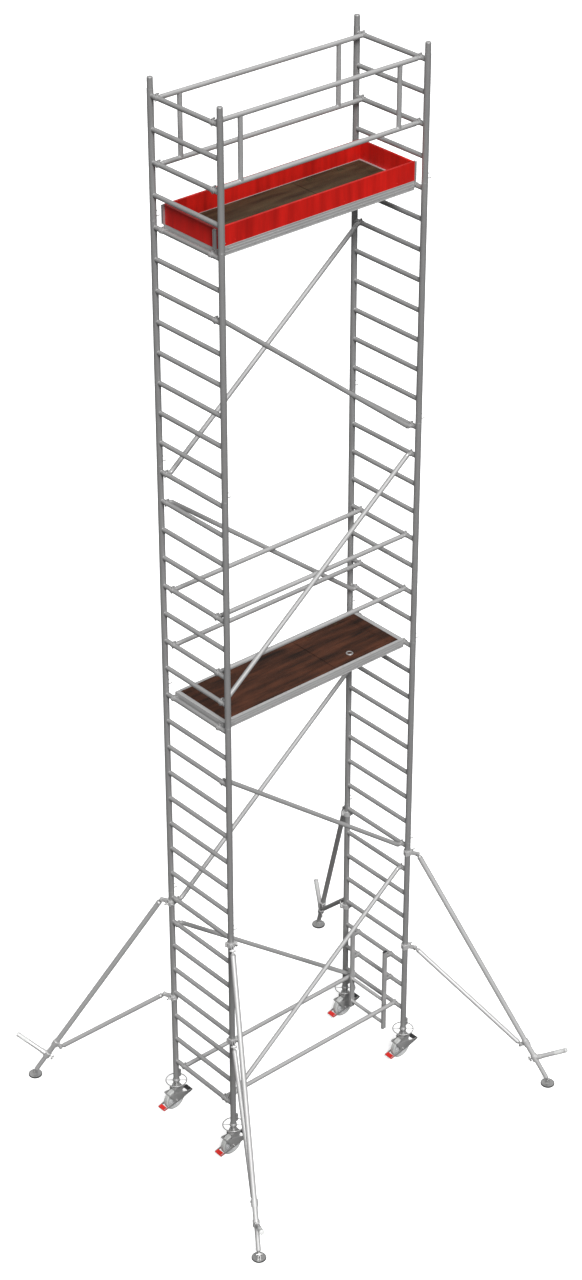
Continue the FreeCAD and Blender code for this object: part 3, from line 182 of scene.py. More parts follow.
class Paint:
    """One material and the nodes that feed it."""

    def __init__(self, name, metallic=0.0, **constants):
        self.material = bpy.data.materials.new(name)
        self.material.use_nodes = True
        self.tree = self.material.node_tree
        self.shader = self.tree.nodes["Principled BSDF"]
        self.shader.inputs["Metallic"].default_value = metallic
        for socket, value in constants.items():
            self.shader.inputs[socket.replace("_", " ")].default_value = value
        self.place = self.node("ShaderNodeTexCoord", {}, {}, "Object")

    def node(self, kind, settings, inputs, output=0):
        made = self.tree.nodes.new(kind)
        for name, value in settings.items():
            setattr(made, name, value)
        for socket, value in inputs.items():
            self.feed(made.inputs[socket], value)
        return Value(self, made.outputs[output])

    def feed(self, socket, value):
        if isinstance(value, Value):
            self.tree.links.new(value.socket, socket)
        else:
            socket.default_value = value

    def set(self, socket, value):
        self.feed(self.shader.inputs[socket], value)
        return self

    def axes(self):
        split = self.node("ShaderNodeSeparateXYZ", {}, {0: self.place})
        outputs = split.socket.node.outputs
        return [Value(self, outputs[index]) for index in range(3)]

    def mapped(self, scale, turn=(0, 0, 0)):
        inputs = {"Vector": self.place, "Scale": scale, "Rotation": turn}
        return self.node("ShaderNodeMapping", {}, inputs)

    def noise(self, scale, detail=3.0, rough=0.5, place=None):
        inputs = {"Vector": place or self.place, "Scale": scale, "Detail": detail, "Roughness": rough}
        return self.node("ShaderNodeTexNoise", {}, inputs)

    def cells(self, scale, feature="F1"):
        inputs = {"Vector": self.place, "Scale": scale}
        return self.node("ShaderNodeTexVoronoi", {"feature": feature}, inputs, "Distance")

    def mix(self, factor, first, second):
        inputs = {0: factor, 6: first, 7: second}
        return self.node("ShaderNodeMix", {"data_type": "RGBA"}, inputs, 2)

    def between(self, mask, first, second):
        return first * (1.0 - mask) + second * mask

    def bump(self, height, depth):
        inputs = {"Height": height, "Distance": depth, "Strength": 1.0}
        return self.set("Normal", self.node("ShaderNodeBump", {}, inputs))


def grey(level, warmth=0.0):
    return (level * (1 + warmth), level, level * (1 - warmth), 1.0)


# ---------------- materials
TUBE_METALLIC = 0.45
TUBE_LEVEL = 0.48
FRAME_LEVEL = 0.36
DRAWN = 420.0
ALONG = 2.5
CROSS_LINES = {
    "x": (ALONG, DRAWN, DRAWN),
    "y": (DRAWN, ALONG, DRAWN),
    "z": (DRAWN, DRAWN, ALONG),
}
SPOKE_TURN = 49
BRACE_SLOPE = math.atan2(6 * RUNG_PITCH, 2 * (HALF_BAY - BRACE_JOINT))


def metal_finish(paint, lines, level, contrast, rough):
    """Drawn metal: die lines, slow cloudiness, fine scratches and handling marks."""
    cloud = paint.noise(3.0, 4.0, 0.6)
    speck = paint.noise(160.0, 3.0, 0.6)
    scratch = (paint.noise(38.0, 5.0, 0.75) > 0.665) * 0.5
    tone = (lines * 0.45 + cloud * 0.4 + speck * 0.15 - scratch * 0.12).clamped()
    paint.set("Base Color", paint.mix(tone, grey(level - contrast, 0.01), grey(level + contrast, 0.0)))
    paint.set("Roughness", rough + (cloud - 0.5) * 0.22 + (lines - 0.5) * 0.12 + scratch * 0.1)
    paint.bump(lines * 0.7 + speck * 0.3, 0.00012)
    return paint.material


def frame_aluminium():
    """Posts have die lines along Z, the rungs between them along Y."""
    paint = Paint("frame_aluminium", metallic=TUBE_METALLIC)
    _x, y, _z = paint.axes()
    on_post = abs(y) > HALF_FRAME - POST_RADIUS
    posts = paint.noise(1.0, 2.0, 0.5, paint.mapped(CROSS_LINES["z"]))
    rungs = paint.noise(1.0, 2.0, 0.5, paint.mapped(CROSS_LINES["y"]))
    return metal_finish(paint, paint.between(on_post, rungs, posts), FRAME_LEVEL, 0.08, 0.42)


def rail_aluminium(name, axis, level=TUBE_LEVEL):
    paint = Paint(name, metallic=TUBE_METALLIC)
    lines = paint.noise(1.0, 2.0, 0.5, paint.mapped(CROSS_LINES[axis]))
    return metal_finish(paint, lines, level, 0.09, 0.42)


def diagonal_aluminium(name, start):
    """Die lines follow each diagonal; the slope changes from one brace to the next, by height."""
    paint = Paint(name, metallic=0.25)
    _x, _y, z = paint.axes()
    other = ((z + start) / (16 * RUNG_PITCH)).fraction() > 0.5
    rising = paint.mapped(CROSS_LINES["x"], (0, BRACE_SLOPE, 0))
    falling = paint.mapped(CROSS_LINES["x"], (0, -BRACE_SLOPE, 0))
    first = paint.noise(1.0, 2.0, 0.5, rising)
    second = paint.noise(1.0, 2.0, 0.5, falling)
    return metal_finish(paint, paint.between(other, first, second), TUBE_LEVEL - 0.09, 0.08, 0.58)


def outrigger_aluminium(name, azimuth, slope):
    """Die lines along the outrigger's main tube."""
    paint = Paint(name, metallic=TUBE_METALLIC)
    swung = paint.mapped((1, 1, 1), (0, 0, -azimuth))
    inputs = {"Vector": swung, "Rotation": (0, -slope, 0), "Scale": CROSS_LINES["x"]}
    lines = paint.noise(1.0, 2.0, 0.5, paint.node("ShaderNodeMapping", {}, inputs))
    return metal_finish(paint, lines, 0.6, 0.08, 0.45)


def cast_aluminium():
    paint = Paint("cast_aluminium", metallic=0.65)
    sand = paint.noise(420.0, 4.0, 0.7)
    pits = paint.cells(260.0)
    cloud = paint.noise(14.0, 3.0, 0.6)
    paint.set("Base Color", paint.mix((cloud * 0.6 + sand * 0.4), grey(0.4, 0.01), grey(0.58)))
    paint.set("Roughness", 0.5 + (sand - 0.5) * 0.3)
    paint.bump(sand * 0.7 + pits * 0.3, 0.0003)
    return paint.material


def zinc_steel():
    """Zinc plate: crystal spangle, faint yellow-blue drift and dull handling marks."""
    paint = Paint("zinc_steel", metallic=0.8)
    spangle = paint.cells(90.0)
    drift = paint.noise(9.0, 4.0, 0.65)
    speck = paint.noise(300.0, 3.0, 0.6)
    tone = paint.mix(drift, (0.36, 0.37, 0.39, 1), (0.5, 0.49, 0.46, 1))
    paint.set("Base Color", paint.mix((spangle * 1.4).clamped() * 0.35, tone, grey(0.62)))
    paint.set("Roughness", 0.3 + spangle * 0.18 + (drift - 0.5) * 0.2)
    paint.bump(speck * 0.6 + spangle * 0.4, 0.00015)
    return paint.material


def pressed_steel():
    """Duller pressed steel of the castor forks and brake plates."""
    paint = Paint("pressed_steel", metallic=0.6)
    drift = paint.noise(16.0, 4.0, 0.65)
    speck = paint.noise(260.0, 4.0, 0.7)
    paint.set("Base Color", paint.mix(drift * 0.7 + speck * 0.3, grey(0.38, 0.01), grey(0.52)))
    paint.set("Roughness", 0.44 + (drift - 0.5) * 0.3)
    paint.bump(speck, 0.0002)
    return paint.material


def plywood(name, dark, light, seam_x):
    """Coated plywood: pressed anti-slip grid, long dark streaks, scuffs and the sheet joint."""
    paint = Paint(name, Specular_IOR_Level=0.2)
    x, _y, _z = paint.axes()
    grid = paint.cells(95.0, "DISTANCE_TO_EDGE")
    raised = grid < 0.06
    streak = paint.noise(1.0, 5.0, 0.6, paint.mapped((2.2, 16.0, 4.0)))
    cloud = paint.noise(3.4, 5.0, 0.62)
    scuff = (paint.noise(26.0, 6.0, 0.8) - 0.56).clamped() * 2.2
    seam = abs(x - seam_x) < 0.0022
    tone = ((streak - 0.5) * 2.4 + (cloud - 0.5) * 1.0 + 0.5).clamped()
    coat = paint.mix(tone, dark, light)
    worn = paint.mix((scuff * 0.25 + raised * 0.06).clamped(), coat, (0.2, 0.15, 0.11, 1))
    paint.set("Base Color", paint.mix(seam * 0.85, worn, (0.008, 0.006, 0.005, 1)))
    paint.set("Roughness", 0.6 + (cloud - 0.5) * 0.25 + scuff * 0.15)
    fibre = paint.noise(1.0, 3.0, 0.6, paint.mapped((30.0, 420.0, 420.0)))
    paint.bump(raised * 0.5 + fibre * 0.15 - seam * 1.5, 0.0007)
    return paint.material


def red_board():
    """Red varnished boards: grain bands across them, darker knots and rubbed edges."""
    paint = Paint("red_board", Coat_Weight=0.08, Coat_Roughness=0.4)
    band = paint.noise(1.0, 4.0, 0.6, paint.mapped((13.0, 13.0, 1.1)))
    grain = paint.noise(1.0, 3.0, 0.65, paint.mapped((150.0, 150.0, 5.0)))
    drift = paint.noise(2.2, 3.0, 0.5)
    chips = (paint.noise(70.0, 5.0, 0.8) > 0.72) * 0.6
    tone = ((band - 0.5) * 1.9 + (grain - 0.5) * 0.5 + (drift - 0.5) * 0.9 + 0.5).clamped()
    coat = paint.mix(tone, (0.34, 0.003, 0.001, 1), (0.66, 0.007, 0.002, 1))
    paint.set("Base Color", paint.mix(chips, coat, (0.15, 0.006, 0.004, 1)))
    paint.set("Roughness", 0.5 + (band - 0.5) * 0.25 + chips * 0.2)
    paint.bump(grain * 0.7 + band * 0.3, 0.0004)
    return paint.material


def moulded(name, dark, light, rough, grain=0.0003):
    """Moulded plastic or rubber: fine leather-like grain, dust in the low spots."""
    paint = Paint(name)
    skin = paint.cells(520.0)
    cloud = paint.noise(18.0, 4.0, 0.6)
    dust = (paint.noise(60.0, 5.0, 0.75) - 0.5).clamped() * 1.5
    paint.set("Base Color", paint.mix((cloud * 0.7 + dust * 0.5).clamped(), dark, light))
    paint.set("Roughness", rough + (cloud - 0.5) * 0.2 + dust * 0.1)
    paint.bump(skin * 0.6 + cloud * 0.4, grain)
    return paint.material


FRAME_METAL = frame_aluminium()
RAIL_METAL = rail_aluminium("rail_aluminium", "x")
LADDER_METAL = rail_aluminium("ladder_aluminium", "z", 0.5)
BEAM_METAL = rail_aluminium("beam_aluminium", "x", 0.52)
CAST_METAL = cast_aluminium()
ZINC = zinc_steel()
PRESSED = pressed_steel()
MID_PLY = plywood("mid_plywood", (0.008, 0.003, 0.0015, 1), (0.092, 0.03, 0.014, 1), 0.24)
TOP_PLY = plywood("top_plywood", (0.024, 0.016, 0.008, 1), (0.078, 0.055, 0.027, 1), 0.24)
RED_BOARD = red_board()
TYRE = moulded("pale_tyre", (0.36, 0.37, 0.37, 1), (0.58, 0.58, 0.56, 1), 0.62)
HUB_PLASTIC = moulded("hub_plastic", (0.4, 0.41, 0.42, 1), (0.62, 0.62, 0.61, 1), 0.45)
RED_PLASTIC = moulded("red_plastic", (0.5, 0.01, 0.008, 1), (0.75, 0.03, 0.02, 1), 0.38)
BLACK_PLASTIC = moulded("black_plastic", (0.01, 0.01, 0.011, 1), (0.045, 0.045, 0.047, 1), 0.45)
PALE_PLASTIC = moulded("pale_plastic", (0.5, 0.51, 0.51, 1), (0.72, 0.72, 0.7, 1), 0.42)
RUBBER = moulded("foot_rubber", (0.012, 0.012, 0.012, 1), (0.06, 0.06, 0.058, 1), 0.75, 0.0006)

PAINTED_NODES = (
    (FRAME_METAL, "frame_spigots", *[f"end_frames_lift_{lift + 1}" for lift in range(LIFTS)]),
    (ZINC, "spring_clips"),
    (diagonal_aluminium("front_diagonals", -0.13), "front_diagonals"),
    (diagonal_aluminium("rear_diagonals", -0.13 + 8 * RUNG_PITCH), "rear_diagonals"),
    (RAIL_METAL, "base_struts", "mid_guard_rails", "guard_frame_front", "guard_frame_rear"),
    (CAST_METAL, "brace_claws", "mid_platform_hooks", "top_platform_hooks", "toe_board_brackets",
     "access_ladder_hooks"),
    (BEAM_METAL, "mid_platform_beams", "top_platform_beams"),
    (MID_PLY, "mid_platform_deck", "mid_hatch"),
    (TOP_PLY, "top_platform_deck", "top_hatch", "hatch_hinge_pins"),
    (RED_BOARD, "long_toe_boards", "short_toe_boards"),
    (LADDER_METAL, "access_ladder"),
)


def cover(node, material):
    data = frame["nodes"][node].data
    data.materials.clear()
    data.materials.append(material)


# ---------------- mesh helpers
def finished(shape):
    """Close, orient and hand over a small shape as a mesh."""
    bmesh.ops.remove_doubles(shape, verts=shape.verts, dist=0.000001)
    bmesh.ops.recalc_face_normals(shape, faces=shape.faces)
    mesh = bpy.data.meshes.new("shape")
    shape.to_mesh(mesh)
    shape.free()
    return mesh


def turned(profile, steps=24, ring=False):
    """Lathe a profile of (radius, height) about Z; a ring's profile closes on itself."""
    shape = bmesh.new()
    points = [shape.verts.new((radius, 0, height)) for radius, height in profile]
    pairs = list(zip(points, points[1:]))
    if ring:
        pairs.append((points[-1], points[0]))
    edges = [shape.edges.new(pair) for pair in pairs]
    bmesh.ops.spin(shape, geom=points + edges, cent=(0, 0, 0), axis=(0, 0, 1),
                   angle=2 * math.pi, steps=steps, use_merge=True)
    return finished(shape)


def rounded(shape, radius, segments=2):
    """Bevel the edges that turn a corner."""
    bmesh.ops.recalc_face_normals(shape, faces=shape.faces)
    edges = [edge for edge in shape.edges
             if len(edge.link_faces) == 2 and edge.calc_face_angle() > SHARP_ANGLE]
    bmesh.ops.bevel(shape, geom=edges, offset=radius, offset_type="OFFSET", affect="EDGES",
                    segments=segments, profile=0.5, material=-1)


def block(length, width, height, radius=0.001, segments=2):
    """Rounded block standing on z = 0, centred in X and Y."""
    shape = bmesh.new()
    bmesh.ops.create_cube(shape, size=1)
    bmesh.ops.scale(shape, vec=(length, width, height), verts=shape.verts)
    bmesh.ops.translate(shape, vec=(0, 0, height / 2), verts=shape.verts)
    rounded(shape, radius, segments)
    return finished(shape)


def slab(outline, thickness, radius=0.0008, segments=2):
    """Plate with an outline in XZ, from y = 0 to y = thickness."""
    shape = bmesh.new()
    face = shape.faces.new([shape.verts.new((x, 0, z)) for x, z in outline])
    pushed = bmesh.ops.extrude_face_region(shape, geom=[face])
    moved = [item for item in pushed["geom"] if isinstance(item, bmesh.types.BMVert)]
    bmesh.ops.translate(shape, vec=(0, thickness, 0), verts=moved)
    rounded(shape, radius, segments)
    return finished(shape)


def hexagon(across, height, bore=0.0):
    """Hexagon nut or bolt head on z = 0 with chamfered corners."""
    shape = bmesh.new()
    radius = across / math.sqrt(3)
    bmesh.ops.create_cone(shape, cap_ends=True, segments=6, radius1=radius, radius2=radius, depth=height)
    bmesh.ops.translate(shape, vec=(0, 0, height / 2), verts=shape.verts)
    if bore:
        top = max(shape.faces, key=lambda face: face.calc_center_median().z)
        bmesh.ops.inset_region(shape, faces=[top], thickness=radius - bore, depth=-0.0008)
    rounded(shape, across * 0.05, 1)
    return finished(shape)


def wire(points, radius, sides=8, closed=False):
    """Round wire along a smooth curve through the points."""
    curve = bpy.data.curves.new("wire", "CURVE")
    curve.dimensions = "3D"
    curve.bevel_depth = radius
    curve.bevel_resolution = max(0, sides // 2 - 2)
    curve.use_fill_caps = True
    curve.resolution_u = 6
    spline = curve.splines.new("BEZIER")
    spline.bezier_points.add(len(points) - 1)
    for bezier, point in zip(spline.bezier_points, points):
        bezier.co = point
        bezier.handle_left_type = "AUTO"
        bezier.handle_right_type = "AUTO"
    spline.use_cyclic_u = closed
    holder = bpy.data.objects.new("wire", curve)
    mesh = bpy.data.meshes.new_from_object(holder)
    bpy.data.objects.remove(holder)
    bpy.data.curves.remove(curve)
    return mesh


def joined(*parts):
    """One mesh from (mesh, place) pairs."""
    shape = bmesh.new()
    for mesh, place in parts:
        shape.verts.ensure_lookup_table()
        start = len(shape.verts)
        shape.from_mesh(mesh)
        shape.verts.ensure_lookup_table()
        bmesh.ops.transform(shape, matrix=place, verts=shape.verts[start:])
    mesh = bpy.data.meshes.new("joined")
    shape.to_mesh(mesh)
    shape.free()
    return mesh


def piece(name, body, slot, material, *parts, smooth=35):
    """A finished piece that rides on a body, made of (mesh, place) pairs."""
    mesh = joined(*parts)
    mesh.name = name
    mesh.materials.clear()
    mesh.materials.append(material)
    item = bpy.data.objects.new(name, mesh)
    bpy.context.scene.collection.objects.link(item)
    mesh.shade_smooth()
    with bpy.context.temp_override(object=item, active_object=item, selected_editable_objects=[item]):
        bpy.ops.object.shade_smooth_by_angle(angle=math.radians(smooth))
    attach(item, body)
    return item


def fluted(length, ribs, low, high):
    """Sleeve with fine ribs along Y, centred, closed at both ends."""
    shape = bmesh.new()
    steps = 4 * ribs
    radii = [high if step % 4 < 2 else low for step in range(steps)]
    angles = [2 * math.pi * step / steps for step in range(steps)]
    ends = [[shape.verts.new((radius * math.cos(angle), y, radius * math.sin(angle)))
             for radius, angle in zip(radii, angles)] for y in (-length / 2, length / 2)]
    for step in range(steps):
        after = (step + 1) % steps
        shape.faces.new((ends[0][step], ends[0][after], ends[1][after], ends[1][step]))
    for ring in ends:
        shape.faces.new(ring)
    return finished(shape)


def fixed(name, slot, material, mesh, places):
    """Copies of one mesh on the standing tower."""
    piece(name, "tower", slot, material, *[(mesh, place) for place in places])


def dome(radius, height, steps=12):
    """Rivet head on z = 0."""
    profile = [(radius, 0), (radius * 0.93, height * 0.45), (radius * 0.62, height * 0.85), (0, height)]
    return turned(profile, steps)


def headed(head, radius, low, high, steps):
    """A nut or a bolt head with a round stud or washer through it."""
    round_part = turned([(0, low), (radius, low), (radius, high), (0, high)], steps)
    return joined((head, at()), (round_part, at()))


def screw_head(radius):
    """Domed screw head with its hexagon socket plug."""
    return joined((dome(radius, 0.0024, 16), at()), (hexagon(0.005, 0.0006), at(0, 0, 0.0022)))


# ---------------- end frames
def weld_bead(tube, post, thickness=0.0022):
    """Fillet where a tube along -Y meets the round of a post whose axis is Z, at the origin."""
    shape = bmesh.new()
    points = [shape.verts.new((tube - 0.0005, 0.001, 0)), shape.verts.new((tube + thickness, 0.0008, 0)),
              shape.verts.new((tube + thickness * 0.55, -thickness * 0.8, 0)),
              shape.verts.new((tube - 0.0005, -thickness * 1.2, 0))]
    edges = [shape.edges.new(pair) for pair in zip(points, points[1:] + points[:1])]
    bmesh.ops.spin(shape, geom=points + edges, cent=(0, 0, 0), axis=(0, 1, 0),
                   angle=2 * math.pi, steps=18, use_merge=True)
    for vert in shape.verts:
        vert.co.y -= math.sqrt(max(post ** 2 - vert.co.x ** 2, 0.0))
    return finished(shape)


def end_frame_details():
    bead = weld_bead(RUNG_RADIUS, POST_RADIUS)
    places = []
    for end in (-1, 1):
        for number in range(1, RUNG_COUNT + 1):
            for side, turned_about in ((1, 0), (-1, 180)):
                spot = at(end * HALF_BAY, side * HALF_FRAME, rung_height(number))
                places.append(spot @ turn_z(turned_about))
    fixed("rung_welds", "aluminium_tube", CAST_METAL, bead, places)

    tread = fluted(2 * (HALF_FRAME - POST_RADIUS - RUNG_WELD), RUNG_RIBS, TREAD_LOW, TREAD_HIGH)
    treads = [at(end * HALF_BAY, 0, rung_height(number)) for end in (-1, 1)
              for number in range(1, RUNG_COUNT + 1)]
    fixed("rung_treads", "aluminium_tube", FRAME_METAL, tread, treads)

    skirt = POST_RADIUS - 0.006
    bore = POST_RADIUS - 0.0068
    cap = turned([(0, 0.0005), (skirt, 0.0005), (skirt, -0.018), (bore, -0.018), (bore, 0), (0.0226, 0),
                  (0.0229, 0.0012), (0.0222, 0.0045), (0.019, 0.0078), (0.012, 0.0104), (0.006, 0.0112),
                  (0, 0.0114)], 28)
    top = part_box("frame_spigots")[1].z
    corners = [at(POSTS[corner].x, POSTS[corner].y, top) for corner in CORNERS]
    fixed("post_caps", "aluminium_tube", FRAME_METAL, cap, corners)

    foot = POST_RADIUS + 0.0002
    crest = POST_RADIUS + 0.0011
    collar = turned([(foot, -0.0035), (crest, -0.0022), (crest, -0.0004), (POST_RADIUS + 0.0001, 0),
                     (crest, 0.0004), (crest, 0.0022), (foot, 0.0035)], 32, ring=True)
    loop_radius = 0.009
    loop = wire([(0, loop_radius * math.cos(step), loop_radius * math.sin(step) - loop_radius)
                 for step in (0, 1.57, 3.14, 4.71)], 0.0012, 6, True)
    washer = turned([(0.0036, 0), (0.0075, 0), (0.0075, 0.0015), (0.0036, 0.0015)], 20, ring=True)
    joints = []
    loops = []
    washers = []
    clip_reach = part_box("spring_clips")[1].x - HALF_BAY - 0.005
    for corner in CORNERS:
        x, y, _z = POSTS[corner]
        for lift in range(1, LIFTS):
            z = POST_FOOT + lift * RUNGS_PER_LIFT * RUNG_PITCH
            joints.append(at(x, y, z))
            loops.append(at(x + clip_reach, y, z + CLIP_HOLES[0]))
            washers += [at(x + POST_RADIUS, y, z + rise) @ AXIS_X for rise in CLIP_HOLES]
    fixed("post_swages", "aluminium_tube", FRAME_METAL, collar, joints)
    fixed("clip_loops", "zinc_steel", ZINC, loop, loops)
    fixed("clip_washers", "zinc_steel", ZINC, washer, washers)


# ---------------- braces
FRONT_BRACES = ((7, 13), (20, 14), (23, 29), (36, 30))
REAR_BRACES = ((13, 7), (14, 20), (29, 23), (30, 36))


def brace_ends():
    """Pairs of frames: at a tube's end with X into the tube, and level at its claw."""
    spots = []
    diagonal_y = abs(centre("front_diagonals").y)
    rail_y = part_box("base_struts")[1].y - BRACE_RADIUS
    routes = [(left, right, -diagonal_y) for left, right in FRONT_BRACES]
    routes += [(left, right, diagonal_y) for left, right in REAR_BRACES]
    routes += [(number, number, side * diagonal_y) for number in (1, 3) for side in (-1, 1)]
    routes += [(number, number, side * rail_y) for number in (36, 17, 19) for side in (-1, 1)]
    for left, right, y in routes:
        low = Vector((-HALF_BAY, y, rung_height(left)))
        high = Vector((HALF_BAY, y, rung_height(right)))
        reach = Vector((RAIL_JOINT if left == right else BRACE_JOINT, 0, 0))
        line = (high - low - 2 * reach).normalized()
        slope = math.degrees(math.atan2(line.z, line.x))
        shoulder = line * (0 if left == right else BRACE_SHOULDER)
        spots.append((at(*(low + reach + shoulder)) @ turn_y(-slope), at(*low)))
        spots.append((at(*(high - reach - shoulder)) @ turn_y(180 - slope), at(*high) @ turn_z(180)))
    return spots


def brace_details():
    spots = brace_ends()
    along = [spot for spot, _upright in spots]
    upright = [level for _spot, level in spots]
    rivet = dome(0.0052, 0.0022)
    rivets = []
    for spot in along:
        for reach in (0.01, 0.026):
            for side in (-1, 1):
                rivets.append(spot @ at(reach, side * (BRACE_RADIUS - 0.0003)) @ facing(side))
    fixed("brace_rivets", "zinc_steel", ZINC, rivet, rivets)
    crimp = turned([(BRACE_RADIUS - 0.001, -0.003), (BRACE_RADIUS + 0.001, -0.0024),
                    (BRACE_RADIUS + 0.0014, 0.0), (BRACE_RADIUS + 0.001, 0.0024),
                    (BRACE_RADIUS - 0.001, 0.003)], 28, ring=True)
    fixed("brace_ferrules", "aluminium_cast", CAST_METAL, crimp,
          [spot @ at(0.0025) @ AXIS_X for spot in along])
    lever = slab([(-0.0105, 0.0195), (0.0, 0.0215), (0.0105, 0.021), (0.0185, 0.025), (0.0225, 0.0315),
                  (0.02, 0.0352), (0.012, 0.0368), (0.0, 0.037), (-0.008, 0.0362), (-0.011, 0.033)],
                 0.01, 0.0018, 3)
    pin = turned([(0, 0), (0.0026, 0), (0.0032, 0.0006), (0.0032, 0.0174), (0.0026, 0.018), (0, 0.018)], 12)
    fixed("claw_levers", "aluminium_cast", CAST_METAL, lever,
          [level @ at(0, -0.005) for level in upright])
    fixed("claw_lever_pins", "zinc_steel", ZINC, pin,
          [level @ at(-0.004, -0.009, 0.0255) @ AXIS_Y for level in upright])
    latch = slab([(-0.0225, -0.006), (-0.0185, -0.004), (-0.0165, -0.019), (-0.01, -0.0205),
                  (-0.008, -0.0245), (-0.019, -0.0235)], 0.006, 0.0008)
    fixed("claw_latches", "zinc_steel", ZINC, latch, [level @ at(0, -0.003) for level in upright])
    guard_frame_welds()


def guard_frame_welds():
    """Beads where the guard frames' uprights meet their rails."""
    bead = weld_bead(BRACE_RADIUS, BRACE_RADIUS)
    places = []
    for side in (-1, 1):
        y = side * abs(centre("front_diagonals").y)
        for end in (-1, 1):
            for number, tilt in ((1, -90), (3, 90)):
                spot = at(end * (HALF_BAY - UPRIGHT_INSET) - side * UPRIGHT_SHIFT, y, rung_height(number))
                places.append(spot @ turn_x(-tilt) @ AXIS_X)
    fixed("guard_welds", "aluminium_tube", CAST_METAL, bead, places)


# ---------------- platforms
def platform_details():
    rivet = dome(0.005, 0.002)
    screw = screw_head(0.0065)
    for name in ("mid", "top"):
        low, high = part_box(f"{name}_platform_beams")
        deck_low, deck_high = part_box(f"{name}_platform_deck")
        hatch_low, hatch_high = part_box(f"{name}_hatch")
        ply = MID_PLY if name == "mid" else TOP_PLY
        ply_slot = "brown_plywood" if name == "mid" else "olive_plywood"
        length = high.x - low.x
        count = 13
        rivets = []
        for side in (-1, 1):
            for index in range(count):
                x = low.x + 0.05 + (length - 0.1) * index / (count - 1)
                if name == "mid":
                    rivets.append(at(x, side * BEAM_TOP_LINE, high.z))
                rivets.append(at(x, side * high.y, high.z - 0.058) @ facing(side))
        fixed(f"{name}_beam_rivets", "zinc_steel", ZINC, rivet, rivets)
        screws = []
        for x in (deck_low.x + 0.02, deck_low.x + 0.24, deck_low.x + 0.61, hatch_low.x - 0.03,
                  hatch_high.x + 0.03, deck_high.x - 0.02):
            for step in range(-2, 3):
                screws.append(at(x, step * 0.125, deck_high.z - 0.0004))
        fixed(f"{name}_deck_screws", ply_slot, ply, screw, screws)
        rib = block(length - 0.004, 0.0036, 0.004, 0.001)
        ribs = []
        for side in (-1, 1):
            for drop in (0.004, 0.024, 0.046, 0.071):
                ribs.append(at(0, side * (high.y + 0.0008), high.z - drop - 0.002))
        fixed(f"{name}_beam_ribs", "aluminium_tube", BEAM_METAL, rib, ribs)
        end_caps = []
        cap = joined((block(0.004, 0.024, 0.074, 0.0012), at()),
                     (dome(0.006, 0.0026), at(0.002, 0, 0.02) @ AXIS_X),
                     (dome(0.006, 0.0026), at(0.002, 0, 0.055) @ AXIS_X))
        for end in (-1, 1):
            for side in (-1, 1):
                place = at(end * (high.x + 0.0022), side * (high.y - 0.0125), low.z + 0.0005)
                end_caps.append(place @ turn_z(0 if end > 0 else 180))
        fixed(f"{name}_beam_end_caps", "aluminium_cast", CAST_METAL, cap, end_caps)
        hatch_furniture(name, hatch_low, hatch_high, deck_high.z, ply, ply_slot)


def hatch_furniture(name, low, high, top, ply, ply_slot):
    """Ring pull with its plate and staple, and the edge strips of a trapdoor."""
    body = f"{name}_hatch"
    middle_x = low.x + 0.237
    front_y = low.y + 0.062
    plate = turned([(0.019, 0.0012), (0.0195, 0.0022), (0.029, 0.0022), (0.031, 0), (0.019, 0)],
                   36, ring=True)
    pull_radius = 0.0235
    angles = [step * math.pi / 4 for step in range(8)]
    pull = wire([(pull_radius * math.cos(angle), pull_radius * math.sin(angle), 0) for angle in angles],
                0.0022, 8, True)
    staple = wire([(-0.006, 0, 0), (-0.004, 0, 0.005), (0.004, 0, 0.005), (0.006, 0, 0)], 0.0018)
    place = at(middle_x, front_y, top)
    piece(f"{name}_hatch_pull", body, "zinc_steel", PRESSED, (plate, place),
          (pull, place @ at(0, 0, 0.0045)), (staple, place @ at(0, pull_radius, 0.001)))
    strip = block(high.x - low.x - 0.008, 0.014, 0.0016, 0.0006)
    side = block(0.014, high.y - low.y - 0.04, 0.0016, 0.0006)
    middle = (low + high) / 2
    edge = block(high.x - low.x - 0.008, 0.003, 0.011, 0.0008)
    piece(f"{name}_hatch_edging", body, ply_slot, ply,
          (edge, at(middle.x, low.y + 0.0016, top - 0.0116)),
          (strip, at(middle.x, low.y + 0.0075, top - 0.0003)),
          (side, at(low.x + 0.0075, middle.y - 0.003, top - 0.0003)),
          (side, at(high.x - 0.0075, middle.y - 0.003, top - 0.0003)))


def toe_board_details():
    low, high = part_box("long_toe_boards")
    screw = screw_head(0.006)
    screws = []
    for end in (-1, 1):
        for side in (-1, 1):
            for rise in (0.03, 0.12):
                out = AXIS_X if end > 0 else AXIS_X @ FLIP
                screws.append(at(end * high.x, side * (high.y - 0.045), low.z + rise) @ out)
    for x in (-0.78, -0.26, 0.26, 0.78):
        for side in (-1, 1):
            screws.append(at(x, side * high.y, low.z + 0.022) @ facing(side))
    fixed("toe_board_screws", "red_board", RED_BOARD, screw, screws)
    length = high.x - low.x
    cap = block(length - 0.002, 0.0215, 0.003, 0.0012)
    short_low, short_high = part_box("short_toe_boards")
    short_cap = block(0.0215, short_high.y - short_low.y, 0.003, 0.0012)
    inset = BOARD_THICKNESS / 2
    caps = [(cap, at(0, side * (high.y - inset), high.z - 0.0018)) for side in (-1, 1)]
    caps += [(short_cap, at(end * (high.x - inset), 0, high.z - 0.0018)) for end in (-1, 1)]
    piece("toe_board_top_edges", "tower", "red_board", RED_BOARD, *caps)


